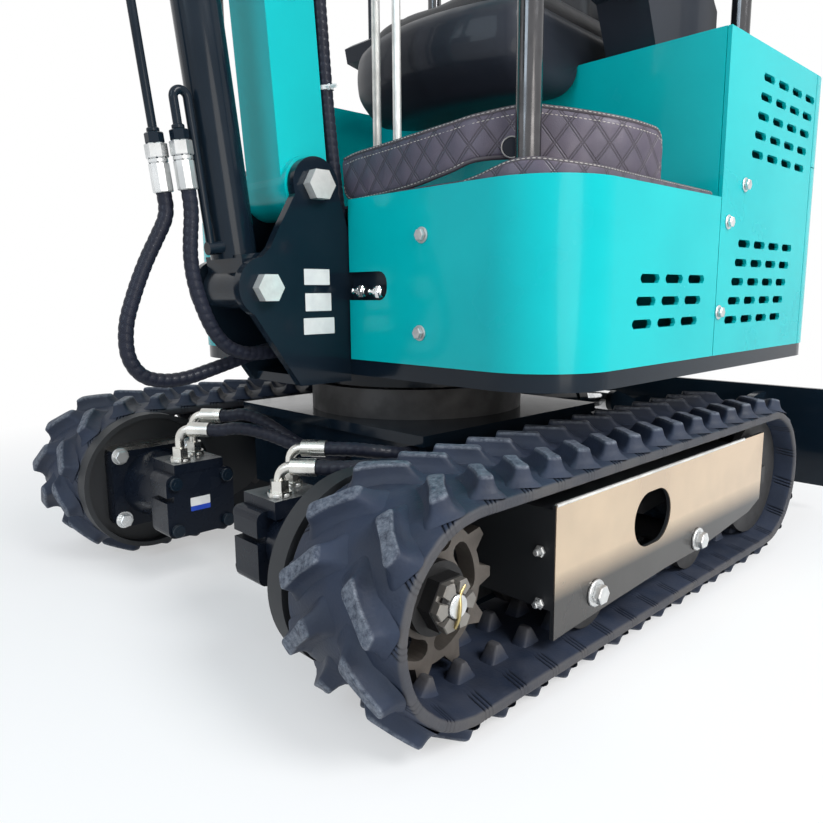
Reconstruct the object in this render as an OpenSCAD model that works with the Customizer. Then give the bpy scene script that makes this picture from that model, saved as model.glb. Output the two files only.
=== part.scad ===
// Mini excavator on rubber tracks, with a fixed boom foot, a rear dozer blade and a four-post canopy.
// Frame: +X forward over the boom, +Y left, +Z up, origin on the ground under the slew axis. Millimetres.

/* [Tracks] */
// Width of each rubber track
track_w = 180; // [160:5:200]
// Clear distance between the two tracks
track_gap = 632; // [600:4:700]
// Distance from the slew axis to the sprocket and idler axles
axle_x = 386; // [370:2:420]
// Outer radius of the belt round the sprocket, without lugs
belt_r = 122; // [118:1:130]
// Thickness of the belt
belt_t = 20; // [16:1:22]
// Height of the lugs
lug_h = 20; // [14:1:26]
// Number of links in each track
link_n = 37; // [33:1:41]
// Number of sprocket teeth
tooth_n = 11; // [9:1:13]

/* [House] */
// Width over the side panels
house_w = 920; // [860:10:980]
// Distance from the slew axis to the front panels
nose_x = 213; // [200:1:230]
// Distance from the slew axis to the tail
tail_x = 660; // [640:5:700]
// Height of the lower edge of the panels
skirt_z = 369; // [360:1:390]
// Height of the floor edge, the top of the front panels
floor_z = 608; // [590:2:640]
// Height of the engine cover
hood_z = 850; // [820:5:900]
// Radius of the front corners
nose_r = 110; // [80:5:140]
// Radius of the tail corners
tail_r = 90; // [70:5:130]
// Thickness of the sheet panels
sheet = 6; // [4:0.5:8]

/* [Canopy] */
// Height of the canopy roof
roof_z = 2160; // [2050:10:2300]
// Outer diameter of the canopy posts
post_d = 32; // [28:1:42]

/* [Boom] */
// Length of the lower boom section
boom_low = 700; // [660:5:740]
// Length of the upper boom section
boom_up = 750; // [700:5:800]
// Width of the boom box
boom_w = 90; // [80:2:100]
// Depth of the boom box
boom_d = 84; // [76:2:96]

/* [Arm and bucket] */
// Length of the arm between its pins
arm_len = 800; // [740:5:860]
// Width of the arm box
arm_w = 64; // [56:2:70]
// Width of the bucket
bucket_w = 340; // [280:10:420]
// Number of bucket teeth
bucket_teeth = 4; // [3:1:5]

/* [Blade] */
// Distance from the slew axis to the blade's edge
blade_x = 770; // [760:5:800]
// Height of the blade plate
blade_h = 207; // [180:1:230]

/* [Hidden] */
$fn = 64;

// Finishes
teal = "#00b9b4";
black = "#15171a";
rubber = "#1f2227";
steel = "#b9bcc0";
dark_steel = "#2a2d31";
leather = "#3b2f3a";

// Running clearance of a pin in its bore, and the gap between parts that only pass each other
pin_clear = 0.05;
side_clear = 1;

// Places shared by the undercarriage
axle_z = lug_h + belt_r;
cord_depth = 14;
pitch_r = belt_r - cord_depth;
belt_in_r = belt_r - belt_t;
run_len = 2 * axle_x;
arc_len = PI * pitch_r;
belt_len = 2 * (run_len + arc_len);
link_pitch = belt_len / link_n;
track_y = (track_gap + track_w) / 2;
horn_h = 20;
horn_y0 = 18;
horn_y1 = 40;
frame_in_y = track_y - track_w / 2 + 18;
frame_out_y = track_y + track_w / 2 - 18;
frame_front_x = 237;
frame_rear_x = -382;
frame_top_z = axle_z + belt_in_r - horn_h - 6;
frame_low_z = 72;
plate_t = 6;
roller_r = 50;
roller_z = axle_z - belt_in_r + roller_r + 0.4;
roller_x = [148, -139];
guard_r = 120;
guard_t = 10;
guard_y = track_gap / 2 - 18;
guard_lip = 18;
shaft_r = 22;
body_top_z = 270;
body_half_x = 205;
body_half_y = 230;
ring_r = 190;
ring_in_r = 140;
ring_h = 48;

// Places shared by the house
deck_t = 24;
deck_z = skirt_z - deck_t;
seam_x = -195;
tail_seam_x = -tail_x + tail_r + 6;
panel_gap = 2;
bracket_y = 72;
bracket_t = 15;
foot = [268, 624];
ram_pin = [360, 478];
foot_pin_r = 20;
ram_pin_r = 18;
post_front = [165, 372];
post_rear = [-430, 372];

// Places of the boom, arm and bucket at rest: angles are measured up from +X
low_angle = 86;
up_angle = 38;
arm_angle = -20;
function polar(r, a) = [r * cos(a), r * sin(a)];
bend = foot + polar(boom_low, low_angle);
tip = bend + polar(boom_up, up_angle);
ram_eye = [458, 1297];
arm_ram_base = bend + polar(90, up_angle) + polar(90, up_angle + 90);
arm_ram_eye = tip + polar(150, 125);
bucket_pin = tip + polar(arm_len, arm_angle);
lever_pivot = tip + polar(arm_len - 140, arm_angle);
lever_r = 105;
lever_angle = 28;
lever_pin = lever_pivot + polar(lever_r, arm_angle + lever_angle);
link_pin = bucket_pin + polar(lever_r, arm_angle + lever_angle);
bucket_ram_base = tip + polar(60, arm_angle) + polar(116, arm_angle + 90);
tip_pin_r = 16;
small_pin_r = 14;
bucket_pin_r = 15;
ear_y = arm_w / 2 + 17;
ear_t = 12;
bar_y = arm_w / 2 + 5;
bar_t = 10;
blade_pivot = [-body_half_x - 45, 150];
blade_ram_base = [-body_half_x - 57, 250];
blade_ram_eye = [-640, 205];
blade_pin_r = 14;
lash_eye = [-690, 215];
lash_y = 330;
lash_t = 16;
lash_r = 14;

// A profile drawn in X and Z, carried across from y0 to y1
module slab(y0, y1) {
    translate([0, y1, 0]) rotate([90, 0, 0]) linear_extrude(y1 - y0) children();
}

// A round bar across the machine at a point of the X-Z plane
module bar(p, r, y0, y1) {
    translate([p[0], y1, p[1]]) rotate([90, 0, 0]) cylinder(r = r, h = y1 - y0);
}

// Outline of a rectangle whose corners are rounded in four short flats each
function round_rect(x0, y0, x1, y1, r) = [
    for (c = [[x1 - r, y1 - r, 0], [x0 + r, y1 - r, 90], [x0 + r, y0 + r, 180], [x1 - r, y0 + r, 270]], a = [0 : 22.5 : 90])
        [c[0], c[1]] + polar(r, c[2] + a)
];

// Outline of a window bent round a centre, with round ends
function kidney(r, w, spread) = concat(
    [for (a = [-spread : spread / 4 : spread]) polar(r + w, a)],
    [for (a = [30 : 30 : 150]) polar(r, spread) + polar(w, spread + a)],
    [for (a = [spread : -spread / 4 : -spread]) polar(r - w, a)],
    [for (a = [30 : 30 : 150]) polar(r, -spread) + polar(w, 180 - spread + a)]
);

// Both mirror images of what is drawn on the left
module both_sides() {
    children();
    mirror([0, 1, 0]) children();
}

// A frame whose X axis runs from one point of the X-Z plane to another
module along(p, q) {
    translate([p[0], 0, p[1]]) rotate([0, -atan2(q[1] - p[1], q[0] - p[0]), 0]) children();
}

// A flat bar with round ends of two radii between two points
module strap(p, q, rp, rq) {
    d = norm(q - p);
    a = atan2(q[1] - p[1], q[0] - p[0]);
    k = acos((rp - rq) / d);
    translate(p) circle(rp);
    translate(q) circle(rq);
    polygon([
        p + polar(rp, a + k), p + polar(rp, a - k), q + polar(rq, a - k), q + polar(rq, a + k)
    ]);
}

// Hydraulic cylinder tube with its eye at the origin, reaching along X
module ram_tube(len, r, bore_r, rod_r, eye_r, eye_w, pin_r) {
    gland = 34;
    neck = eye_r + 14;
    difference() {
        union() {
            rotate([90, 0, 0]) cylinder(r = eye_r, h = eye_w, center = true);
            translate([0, -eye_w / 2 + 2, -eye_r * 0.6]) cube([neck + 4, eye_w - 4, eye_r * 1.2]);
            translate([neck, 0, 0]) rotate([0, 90, 0]) cylinder(r = r, h = len - neck);
            translate([len - gland, 0, 0]) rotate([0, 90, 0]) cylinder(r = r + 4, h = gland);
        }
        rotate([90, 0, 0]) cylinder(r = pin_r + pin_clear, h = eye_w + 2, center = true);
        translate([neck + 12, 0, 0]) rotate([0, 90, 0]) cylinder(r = bore_r, h = len - gland - neck - 12);
        translate([neck, 0, 0]) rotate([0, 90, 0]) cylinder(r = rod_r + pin_clear, h = len);
    }
}

// Piston rod with its eye at the origin, reaching back along -X into the tube
module ram_rod(len, rod_r, bore_r, eye_r, eye_w) {
    piston_t = 24;
    rotate([90, 0, 0]) cylinder(r = eye_r, h = eye_w, center = true);
    translate([-len, 0, 0]) rotate([0, 90, 0]) cylinder(r = rod_r, h = len);
    translate([-len, 0, 0]) rotate([0, 90, 0]) cylinder(r = bore_r - 0.5, h = piston_t);
}

// A hose as one closed tube with eight sides swept through its points
module hose(points, d) {
    sides = 8;
    n = len(points);
    function unit(v) = v / norm(v);
    function tangent(i) = unit(points[min(i + 1, n - 1)] - points[max(i - 1, 0)]);
    function first_side(t) = unit(cross(t, abs(t[2]) > 0.8 ? [0, 1, 0] : [0, 0, 1]));
    function carried(v, t) = unit(v - (v * t) * t);
    function sides_at(i) = i == 0 ? first_side(tangent(0)) : carried(sides_at(i - 1), tangent(i));
    function ring(i) =
        let (a = sides_at(i), b = cross(tangent(i), a))
        [for (k = [0 : sides - 1]) points[i] + d / 2 * (cos(360 * k / sides) * a + sin(360 * k / sides) * b)];
    rings = [for (i = [0 : n - 1]) each ring(i)];
    walls = [
        for (i = [0 : n - 2], k = [0 : sides - 1], half = [0, 1])
            let (m = (k + 1) % sides, low = i * sides, high = low + sides)
            half == 0 ? [low + k, high + m, high + k] : [low + k, low + m, high + m]
    ];
    first = [for (k = [0 : sides - 1]) sides - 1 - k];
    last = [for (k = [0 : sides - 1]) (n - 1) * sides + k];
    polyhedron(rings, concat([first], walls, [last]));
}

// A frame on the belt's cord line, a distance round the loop from the rear of its top run
module on_belt(s) {
    front = s - run_len;
    under = front - arc_len;
    rear = under - run_len;
    if (front < 0)
        translate([s - axle_x, 0, axle_z + pitch_r]) children();
    else if (under < 0)
        translate([axle_x, 0, axle_z]) rotate([0, 180 * front / arc_len, 0])
            translate([0, 0, pitch_r]) children();
    else if (rear < 0)
        translate([axle_x - under, 0, axle_z - pitch_r]) rotate([0, 180, 0]) children();
    else
        translate([-axle_x, 0, axle_z]) rotate([0, 180 + 180 * rear / arc_len, 0])
            translate([0, 0, pitch_r]) children();
}

// Side outline of a belt surface at a radius from the axles
module belt_outline(r) {
    for (s = [-1, 1]) translate([s * axle_x, axle_z]) circle(r, $fn = 24);
    translate([-axle_x, axle_z - r]) square([2 * axle_x, 2 * r]);
}

// A solid with flat faces over a base outline and a top outline, each at its own height
module frustum(base, base_z, top, top_z) {
    corners = concat([for (p = base) [p[0], p[1], base_z]], [for (p = top) [p[0], p[1], top_z]]);
    hull() polyhedron(corners, [[for (i = [0 : len(corners) - 1]) i]]);
}

// One slanted tread bar over half of the belt, on its outer face; the far half's bars trail by a share of a pitch
lug_stagger = 0.78;
module lug(side) {
    edge = track_w / 2 - 6;
    foot_z = belt_r - pitch_r - 4;
    mirror([0, side < 0 ? 1 : 0, 0]) frustum(
        [[14, edge], [44, edge], [-2, 6], [-26, 6]], foot_z,
        [[22, edge - 10], [34, edge - 10], [-5, 16], [-16, 16]], cord_depth + lug_h
    );
}

// Guide horns that stand in two rows on the belt's inner face, each a wedge with a narrow ridge
module horns() {
    foot_z = cord_depth - belt_t + 1;
    for (s = [-1, 1]) frustum(
        [[-16, s * horn_y0], [16, s * horn_y0], [16, s * horn_y1], [-16, s * horn_y1]], foot_z,
        [[0, s * (horn_y0 + 4)], [0, s * (horn_y1 - 4)]], foot_z - 1 - horn_h
    );
}

module track() {
    color(rubber) {
        slab(-track_w / 2, track_w / 2) difference() {
            belt_outline(belt_r);
            belt_outline(belt_in_r);
        }
        for (i = [0 : link_n - 1]) {
            on_belt(i * link_pitch) horns();
            on_belt(i * link_pitch) lug(1);
            on_belt((i + lug_stagger) * link_pitch) lug(-1);
        }
    }
}

module track_left() { translate([0, track_y, 0]) track(); }
module track_right() { mirror([0, 1, 0]) track_left(); }

// Welded track frame: two side plates, a top plate and a front end plate, with legs to the car body
module track_frame() {
    yoke_x = -axle_x + belt_in_r - 4;
    hole = [4, 158];
    hole_r = 39;
    plate = [
        [frame_front_x, frame_low_z - 16], [frame_front_x, frame_top_z + 6], [frame_rear_x, frame_top_z + 6],
        [frame_rear_x, 105], [-336, 90], [-262, 83], [-153, frame_low_z], [-39, 71], [111, 64], [213, 58]
    ];
    color(black) difference() {
        union() {
            slab(frame_in_y, frame_in_y + plate_t) polygon(plate);
            slab(frame_out_y - plate_t, frame_out_y) polygon(plate);
            translate([yoke_x, frame_in_y, frame_top_z - plate_t])
                cube([frame_front_x - yoke_x, frame_out_y - frame_in_y, plate_t]);
            translate([frame_front_x - plate_t, frame_in_y, frame_low_z + 20])
                cube([plate_t, frame_out_y - frame_in_y, frame_top_z - frame_low_z - 20]);
            slab(guard_y, guard_y + guard_t)
                strap([axle_x, axle_z], [frame_front_x - 22, axle_z], guard_r, 60);
            slab(guard_y - guard_lip, guard_y + 1) translate([axle_x, axle_z]) difference() {
                circle(guard_r);
                circle(guard_r - 8);
            }
            translate([frame_front_x - 70, guard_y + guard_t - 1, axle_z - 45])
                cube([60, frame_in_y - guard_y - guard_t + 2, 90]);
        }
        bar([axle_x, axle_z], shaft_r + 20, guard_y - 1, guard_y + guard_t + 1);
        slab(frame_out_y - plate_t - 1, frame_out_y + 1) {
            for (s = [-12, 12]) translate(hole + [s, 0]) circle(hole_r);
            translate(hole - [12, hole_r]) square([24, 2 * hole_r]);
        }
        for (x = roller_x) bar([x, roller_z], 10 + pin_clear, frame_in_y - 1, frame_out_y + 1);
    }
}

module track_frame_left() { track_frame(); }
module track_frame_right() { mirror([0, 1, 0]) track_frame(); }

// Drive sprocket with oval windows, a hub and a castle nut
module sprocket() {
    root_r = belt_in_r - 20;
    tip_r = belt_in_r - 2;
    half_w = 13;
    step = 360 / tooth_n;
    difference() {
        union() {
            bar([axle_x, axle_z], root_r, track_y - half_w, track_y + half_w);
            slab(track_y - half_w, track_y + half_w) translate([axle_x, axle_z])
                for (i = [0 : tooth_n - 1]) rotate(i * step + step / 2)
                    polygon([[root_r - 6, -15], [tip_r, -6], [tip_r, 6], [root_r - 6, 15]]);
            bar([axle_x, axle_z], 42, track_y - half_w - 10, track_y + half_w + 12);
            bar([axle_x, axle_z], shaft_r, guard_y + 6, track_y + half_w + 36);
            translate([axle_x, track_y + half_w + 30, axle_z]) rotate([90, 0, 0])
                cylinder(r = 33, h = 18, $fn = 6);
        }
        slab(track_y - half_w - 1, track_y + half_w + 1) translate([axle_x, axle_z])
            for (i = [0 : 4]) rotate(72 * i + 18) polygon(kidney(61, 12, 20));
    }
}

module sprockets() { color(dark_steel) both_sides() sprocket(); }

// Idler: two rims that straddle the horns, on a yoke that slides between the side plates
module idler() {
    c = [-axle_x, axle_z];
    yoke_h = 30;
    yoke_w = 8;
    rim_y = 50;
    for (s = [-1, 1]) {
        bar(c, belt_in_r * cos(7.5) - 0.4, track_y + s * rim_y - 6, track_y + s * rim_y + 6);
        translate([c[0] - 30, track_y + s * (frame_out_y - plate_t - track_y - yoke_w / 2) - yoke_w / 2, axle_z - yoke_h / 2])
            cube([120, yoke_w, yoke_h]);
    }
    bar(c, 26, track_y - rim_y - 8, track_y + rim_y + 8);
    bar(c, 14, frame_in_y + plate_t + 1, frame_out_y - plate_t - 1);
}

module idlers() { color(dark_steel) both_sides() idler(); }

// Bottom roller: two flanges that straddle the horns, and a through bolt
module roller(x) {
    c = [x, roller_z];
    for (s = [-1, 1]) bar(c, roller_r, track_y + s * 53 - 8, track_y + s * 53 + 8);
    bar(c, 18, frame_in_y + plate_t, frame_out_y - plate_t);
    bar(c, 10, frame_in_y - 4, frame_out_y + 8);
    bar(c, 17, frame_out_y, frame_out_y + 3);
}

module rollers() { color(dark_steel) both_sides() for (x = roller_x) roller(x); }

// Travel motor inside the guard: bolted pad, tapered neck, end housing and port block
port_z = 206;
port_y = 142;
port_step = [20, 16];
elbow_r = 18;
ferrule_len = 34;
fitting_turn = 127;
module travel_motor() {
    housing_y = 102;
    neck_y = 160;
    pad_y = guard_y - 32;
    color(dark_steel) {
        slab(pad_y, guard_y) polygon(round_rect(axle_x - 76, axle_z - 70, axle_x + 76, axle_z + 70, 14));
        translate([axle_x, pad_y + 1, axle_z]) rotate([90, 0, 0]) cylinder(r1 = 60, r2 = 46, h = pad_y + 2 - neck_y);
        difference() {
            slab(housing_y, neck_y)
                polygon(round_rect(axle_x - 58, axle_z - 54, axle_x + 58, axle_z + 48, 12));
            translate([axle_x + 46, housing_y - 1, axle_z + 5]) cube([14, neck_y - housing_y + 2, 9]);
        }
        translate([axle_x - 42, port_y - 38, axle_z + 40]) cube([84, 76, port_z - axle_z - 40]);
    }
}

// Elbow on a port: flange nut, pipe nut, bent pipe and the hose's ferrule, led towards the rear left
module elbow(port, rise) {
    r = 7;
    translate([port[0], port[1], port_z]) rotate(fitting_turn) {
        translate([0, 0, -1]) cylinder(r = 17, h = 8, $fn = 6);
        cylinder(r = 13, h = 22, $fn = 6);
        cylinder(r = r, h = rise - elbow_r);
        translate([elbow_r, 0, rise - elbow_r]) rotate([90, 0, 0]) rotate(90)
            rotate_extrude(angle = 90) translate([elbow_r, 0]) circle(r);
        translate([elbow_r, 0, rise]) rotate([0, 90, 0]) cylinder(r = 11.5, h = ferrule_len);
    }
}

rise_left = [40, 54];
rise_right = [52, 66];
function port_at(side, k) = [axle_x, side * port_y] + (1 - 2 * k) * port_step;

module travel_motors() {
    both_sides() travel_motor();
    color(steel) for (k = [0, 1]) {
        elbow(port_at(1, k), rise_left[k]);
        elbow(port_at(-1, k), rise_right[k]);
    }
}

// Centre box between the tracks: main box, top plate and two cross beams
module car_body() {
    beam_w = 120;
    beam_x = 140;
    low_z = 120;
    lid_t = 16;
    pivot_ear_y = 112;
    ram_ear_y = 30;
    color(black) {
        difference() {
            union() {
                translate([-body_half_x, -body_half_y, low_z])
                    cube([2 * body_half_x, 2 * body_half_y, body_top_z - low_z - lid_t]);
                translate([-body_half_x - 15, -body_half_y - 10, body_top_z - lid_t])
                    cube([2 * body_half_x + 30, 2 * body_half_y + 20, lid_t]);
                both_sides() for (x = [-beam_x, beam_x - beam_w])
                    translate([x, body_half_y - 1, axle_z - 40])
                        cube([beam_w, frame_in_y - body_half_y + 1, 80]);
                both_sides() slab(pivot_ear_y, pivot_ear_y + 16)
                    strap(blade_pivot, [-body_half_x + 30, 170], 30, 36);
                both_sides() slab(ram_ear_y, ram_ear_y + 14)
                    strap(blade_ram_base, [-body_half_x + 10, 232], 22, 20);
            }
            translate([0, 0, low_z - 1]) cylinder(r = 110, h = body_top_z);
        }
        both_sides() bar(blade_pivot, blade_pin_r, pivot_ear_y + 1, pivot_ear_y + 42);
        bar(blade_ram_base, blade_pin_r, -ram_ear_y - 20, ram_ear_y + 20);
    }
}

module slew_ring() {
    bolt_n = 24;
    color(dark_steel) difference() {
        translate([0, 0, body_top_z]) cylinder(r = ring_r, h = ring_h);
        translate([0, 0, body_top_z - 1]) cylinder(r = ring_in_r, h = ring_h + 2);
        for (i = [0 : bolt_n - 1]) rotate(360 * i / bolt_n)
            translate([(ring_r + ring_in_r) / 2 + 8, 0, body_top_z - 1]) cylinder(r = 6, h = ring_h + 2);
    }
}

// Travel hoses: each starts at an elbow's ferrule and ends at a wall of the car body
travel_hose_d = 20;
hose_gap = 0.3;
function hose_end(side, k, rise, past) =
    let (out = polar(elbow_r + ferrule_len + hose_gap + past, fitting_turn))
    [port_at(side, k)[0] + out[0], port_at(side, k)[1] + out[1], port_z + rise];
wall_x = body_half_x + hose_gap;
wall_y = body_half_y + hose_gap;
left_route_a = [
    hose_end(1, 0, rise_left[0], 0), hose_end(1, 0, rise_left[0], 20), [345, 236, 247], [320, 257, 248],
    [285, 271, 247], [248, 273, 244], [215, 272, 240], [190, 266, 237.5], [174, 255, 236.5], [166, 243, 236],
    [166, wall_y, 236]
];
left_route_b = [
    hose_end(1, 1, rise_left[1], 0), hose_end(1, 1, rise_left[1], 18), [310, 201, 260], [292, 219, 257],
    [270, 230, 253], [250, 226, 248], [233, 215, 243], [wall_x + 14, 206, 241], [wall_x, 206, 241]
];
right_route_a = [
    hose_end(-1, 0, rise_right[0], 0), hose_end(-1, 0, rise_right[0], 18), [346, -52, 261], [326, -34, 257],
    [305, -14, 248], [285, 10, 236], [264, 32, 225], [240, 47, 217], [wall_x + 14, 52, 215], [wall_x, 52, 215]
];
right_route_b = [
    hose_end(-1, 1, rise_right[1], 0), hose_end(-1, 1, rise_right[1], 16), [312, -88, 275], [299, -71, 270],
    [287, -52, 260], [274, -32, 246], [260, -14, 232], [242, 2, 220], [wall_x + 14, 10, 215], [wall_x, 10, 215]
];

module travel_hose_left_a() { color(rubber) hose(left_route_a, travel_hose_d); }
module travel_hose_left_b() { color(rubber) hose(left_route_b, travel_hose_d); }
module travel_hose_right_a() { color(rubber) hose(right_route_a, travel_hose_d); }
module travel_hose_right_b() { color(rubber) hose(right_route_b, travel_hose_d); }

// Plan of the house, set in from its outer face
module house_plan(inset) {
    w = house_w / 2 - inset;
    front = nose_x - inset;
    rear = -tail_x + inset;
    fr = nose_r - inset;
    rr = tail_r - inset;
    translate([rear + rr, -w]) square([front - fr - rear - rr, 2 * w]);
    translate([front - fr, -w + fr]) square([fr, 2 * (w - fr)]);
    translate([rear, -w + rr]) square([rr, 2 * (w - rr)]);
    for (s = [-1, 1]) {
        translate([front - fr, s * (w - fr)]) circle(fr, $fn = 24);
        translate([rear + rr, s * (w - rr)]) circle(rr, $fn = 24);
    }
}

// Slewing platform: deck plate, bearing drum and spigot
module platform() {
    color(black) {
        translate([0, 0, deck_z]) linear_extrude(deck_t) house_plan(2);
        translate([0, 0, body_top_z + ring_h + 2])
            cylinder(r = ring_r - 12, h = deck_z - body_top_z - ring_h - 2);
        translate([0, 0, body_top_z + 6]) cylinder(r = ring_in_r - 0.4, h = deck_z - body_top_z - 6);
    }
}

// Opening in the front panel beside the bracket, for the grease points behind it
window_z = skirt_z + 111;
window_y = 139;
window_r = 21;

// Boom foot bracket: two cheek plates with a web between them, and a wing with the grease points
module bracket_outline() {
    polygon([
        [nose_x - 2, skirt_z - 34], [305, skirt_z - 34], ram_pin + [24, -30], ram_pin, ram_pin + [12, 34],
        ram_pin + [-10, 55], foot + [64, -59], foot + [37, -14], foot, foot + [-30, 22], [nose_x - 2, 560]
    ]);
    translate(foot) circle(40);
    translate(ram_pin) circle(42);
}

module pivot_bracket() {
    inner = bracket_y - bracket_t;
    back_x = nose_x - 2;
    low_z = skirt_z - 34;
    color(black) difference() {
        union() {
            both_sides() slab(inner, bracket_y) bracket_outline();
            translate([back_x, -inner - 1, low_z]) cube([12, 2 * inner + 2, 150]);
            translate([back_x, -inner - 1, low_z]) cube([90, 2 * inner + 2, 14]);
            both_sides() translate([back_x - 16, inner, window_z - 40]) cube([17, bracket_t, 80]);
            both_sides() translate([back_x - 16, inner, window_z - 40]) cube([8, window_y + 40 - inner, 80]);
        }
        bar(foot, foot_pin_r + pin_clear, -bracket_y - 1, bracket_y + 1);
        bar(ram_pin, ram_pin_r + pin_clear, -bracket_y - 1, bracket_y + 1);
    }
}

module pivot_pins() {
    color(steel) {
        for (p = [[foot, foot_pin_r], [ram_pin, ram_pin_r]]) {
            bar(p[0], p[1], -bracket_y - 6, bracket_y + 6);
            for (s = [-1, 1]) translate([p[0][0], s * (bracket_y + 8), p[0][1]]) rotate([90, 0, 0])
                cylinder(r = p[1] + 3, h = 16, center = true, $fn = 6);
        }
    }
}

// Cooling slots in a side panel: rows of flat slots with faceted ends, each row set back from the one below
module slots(x, z, columns, rows, length, pitch, lean) {
    slot_h = 12;
    row_h = 30;
    slab(house_w / 2 - sheet - 1, house_w / 2 + 1) for (i = [0 : columns - 1], k = [0 : rows - 1])
        translate([x - length - i * pitch - k * lean, z + k * row_h - slot_h / 2])
            polygon([[0, 4], [4, 0], [length - 4, 0], [length, 4], [length, 8], [length - 4, 12], [4, 12], [0, 8]]);
}

// Front panel: from beside the boom bracket round the corner and back to the seam
module front_panel() {
    color(teal) difference() {
        translate([0, 0, skirt_z]) linear_extrude(floor_z - skirt_z) difference() {
            house_plan(0);
            house_plan(sheet);
            translate([-tail_x - 1, -house_w]) square([tail_x + 1 + seam_x, 2 * house_w]);
            translate([0, -house_w]) square([2 * nose_x, house_w + bracket_y + 3]);
            translate([-tail_x - 1, -house_w]) square([2 * tail_x, house_w]);
        }
        slots(seam_x + 247, skirt_z + 57, 3, 3, 51, 68, 8.5);
        translate([nose_x - sheet - 1, 0, window_z]) rotate([90, 0, 90]) linear_extrude(sheet + 2)
            polygon(round_rect(bracket_y - window_r, -window_r, window_y + window_r, window_r, 17));
    }
}

module front_panel_left() { front_panel(); }
module front_panel_right() { mirror([0, 1, 0]) front_panel(); }

// Rear side panel with its two groups of cooling slots
module rear_panel() {
    color(teal) difference() {
        translate([tail_seam_x + panel_gap, house_w / 2 - sheet, skirt_z])
            cube([seam_x - tail_seam_x - 2 * panel_gap, sheet, hood_z - skirt_z]);
        slots(seam_x - 37, skirt_z + 54, 4, 5, 46, 62, 8.5);
        slots(seam_x - 101, skirt_z + 314, 4, 5, 45, 62, 7);
    }
}

module rear_panel_left() { rear_panel(); }
module rear_panel_right() { mirror([0, 1, 0]) rear_panel(); }

cast_t = tail_r - 15;
cast_top_z = 690;

module counterweight() {
    color(teal) translate([0, 0, skirt_z]) linear_extrude(cast_top_z - skirt_z) difference() {
        house_plan(0);
        house_plan(cast_t);
        translate([tail_seam_x, -house_w]) square(2 * house_w);
    }
}

// Engine cover: rear shell over the counterweight and the top plate
module hood() {
    color(teal) {
        translate([0, 0, cast_top_z + panel_gap]) linear_extrude(hood_z - cast_top_z - panel_gap) difference() {
            house_plan(0);
            house_plan(sheet);
            translate([tail_seam_x, -house_w]) square(2 * house_w);
        }
        translate([0, 0, hood_z - sheet]) linear_extrude(sheet) intersection() {
            house_plan(sheet);
            translate([-2 * tail_x, -house_w]) square([2 * tail_x + seam_x - sheet - panel_gap, 2 * house_w]);
        }
    }
}

module engine_wall() {
    color(teal) translate([seam_x - sheet - 1, -house_w / 2 + sheet + 1, skirt_z])
        cube([sheet, house_w - 2 * sheet - 2, hood_z - skirt_z]);
}

module engine() {
    color(dark_steel) translate([-540, -200, skirt_z]) cube([310, 400, 400]);
}

module floor_plate() {
    color(black) translate([0, 0, floor_z - sheet - 2]) linear_extrude(sheet) difference() {
        house_plan(sheet + 0.5);
        translate([-2 * tail_x, -house_w]) square([2 * tail_x + seam_x, 2 * house_w]);
        translate([150, -bracket_y - 3]) square([200, 2 * bracket_y + 6]);
    }
}

// Floor mat: a thin sheet with an upright strip that runs along the front and passes inside the post
module floor_mat() {
    mat_t = 6;
    strip_h = 74;
    z0 = floor_z - 1.7;
    side = house_w / 2 - 20;
    path = [
        [nose_x - 10, bracket_y + 14], [nose_x - 17, 200], [nose_x - 35, post_front[1] - 72],
        [post_front[0] - 25, post_front[1] - 26], [post_front[0] - 85, side - 38], [post_front[0] - 145, side - 4],
        [post_front[0] - 200, side]
    ];
    inner = [for (i = [len(path) - 1 : -1 : 0]) path[i] - mat_t * [cos(14 * i), sin(14 * i)]];
    color(leather) {
        translate([0, 0, z0]) linear_extrude(mat_t) difference() {
            house_plan(sheet + 6);
            translate([-2 * tail_x, -house_w]) square([2 * tail_x + seam_x + 6, 2 * house_w]);
            translate([140, -bracket_y - 10]) square([200, 2 * bracket_y + 20]);
            for (s = [-1, 1]) translate([post_front[0], s * post_front[1]]) circle(post_d / 2 + 4);
        }
        both_sides() translate([0, 0, z0 + 1]) linear_extrude(strip_h) polygon(concat(path, inner));
    }
}

// Seat: a shell that reaches out over the floor, and a leaning back
module seat() {
    z0 = hood_z + 0.5;
    wall = seam_x + 8;
    color(dark_steel) {
        slab(-200, 200) polygon([
            [wall, z0 - 50], [wall + 147, z0 - 62], [wall + 209, z0 - 19], [wall + 217, z0 + 17],
            [wall + 209, z0 + 59], [wall + 175, z0 + 85], [wall - 240, z0 + 67], [wall - 240, z0], [wall, z0]
        ]);
        slab(-188, 188) polygon([
            [wall - 238, z0 + 50], [wall - 265, z0 + 420], [wall - 283, z0 + 454], [wall - 313, z0 + 468],
            [wall - 343, z0 + 458], [wall - 353, z0 + 420], [wall - 325, z0], [wall - 238, z0]
        ]);
    }
}

module travel_levers() {
    lever_x = 72;
    color(steel) for (y = [-17, 33]) {
        translate([lever_x, y, floor_z + 4.6]) cylinder(r = 7, h = 430);
        translate([lever_x, y, floor_z + 434.6]) cylinder(r = 13, h = 90);
        translate([lever_x - 20, y - 12, floor_z + 4.6]) cube([40, 24, 16]);
    }
}

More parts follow.
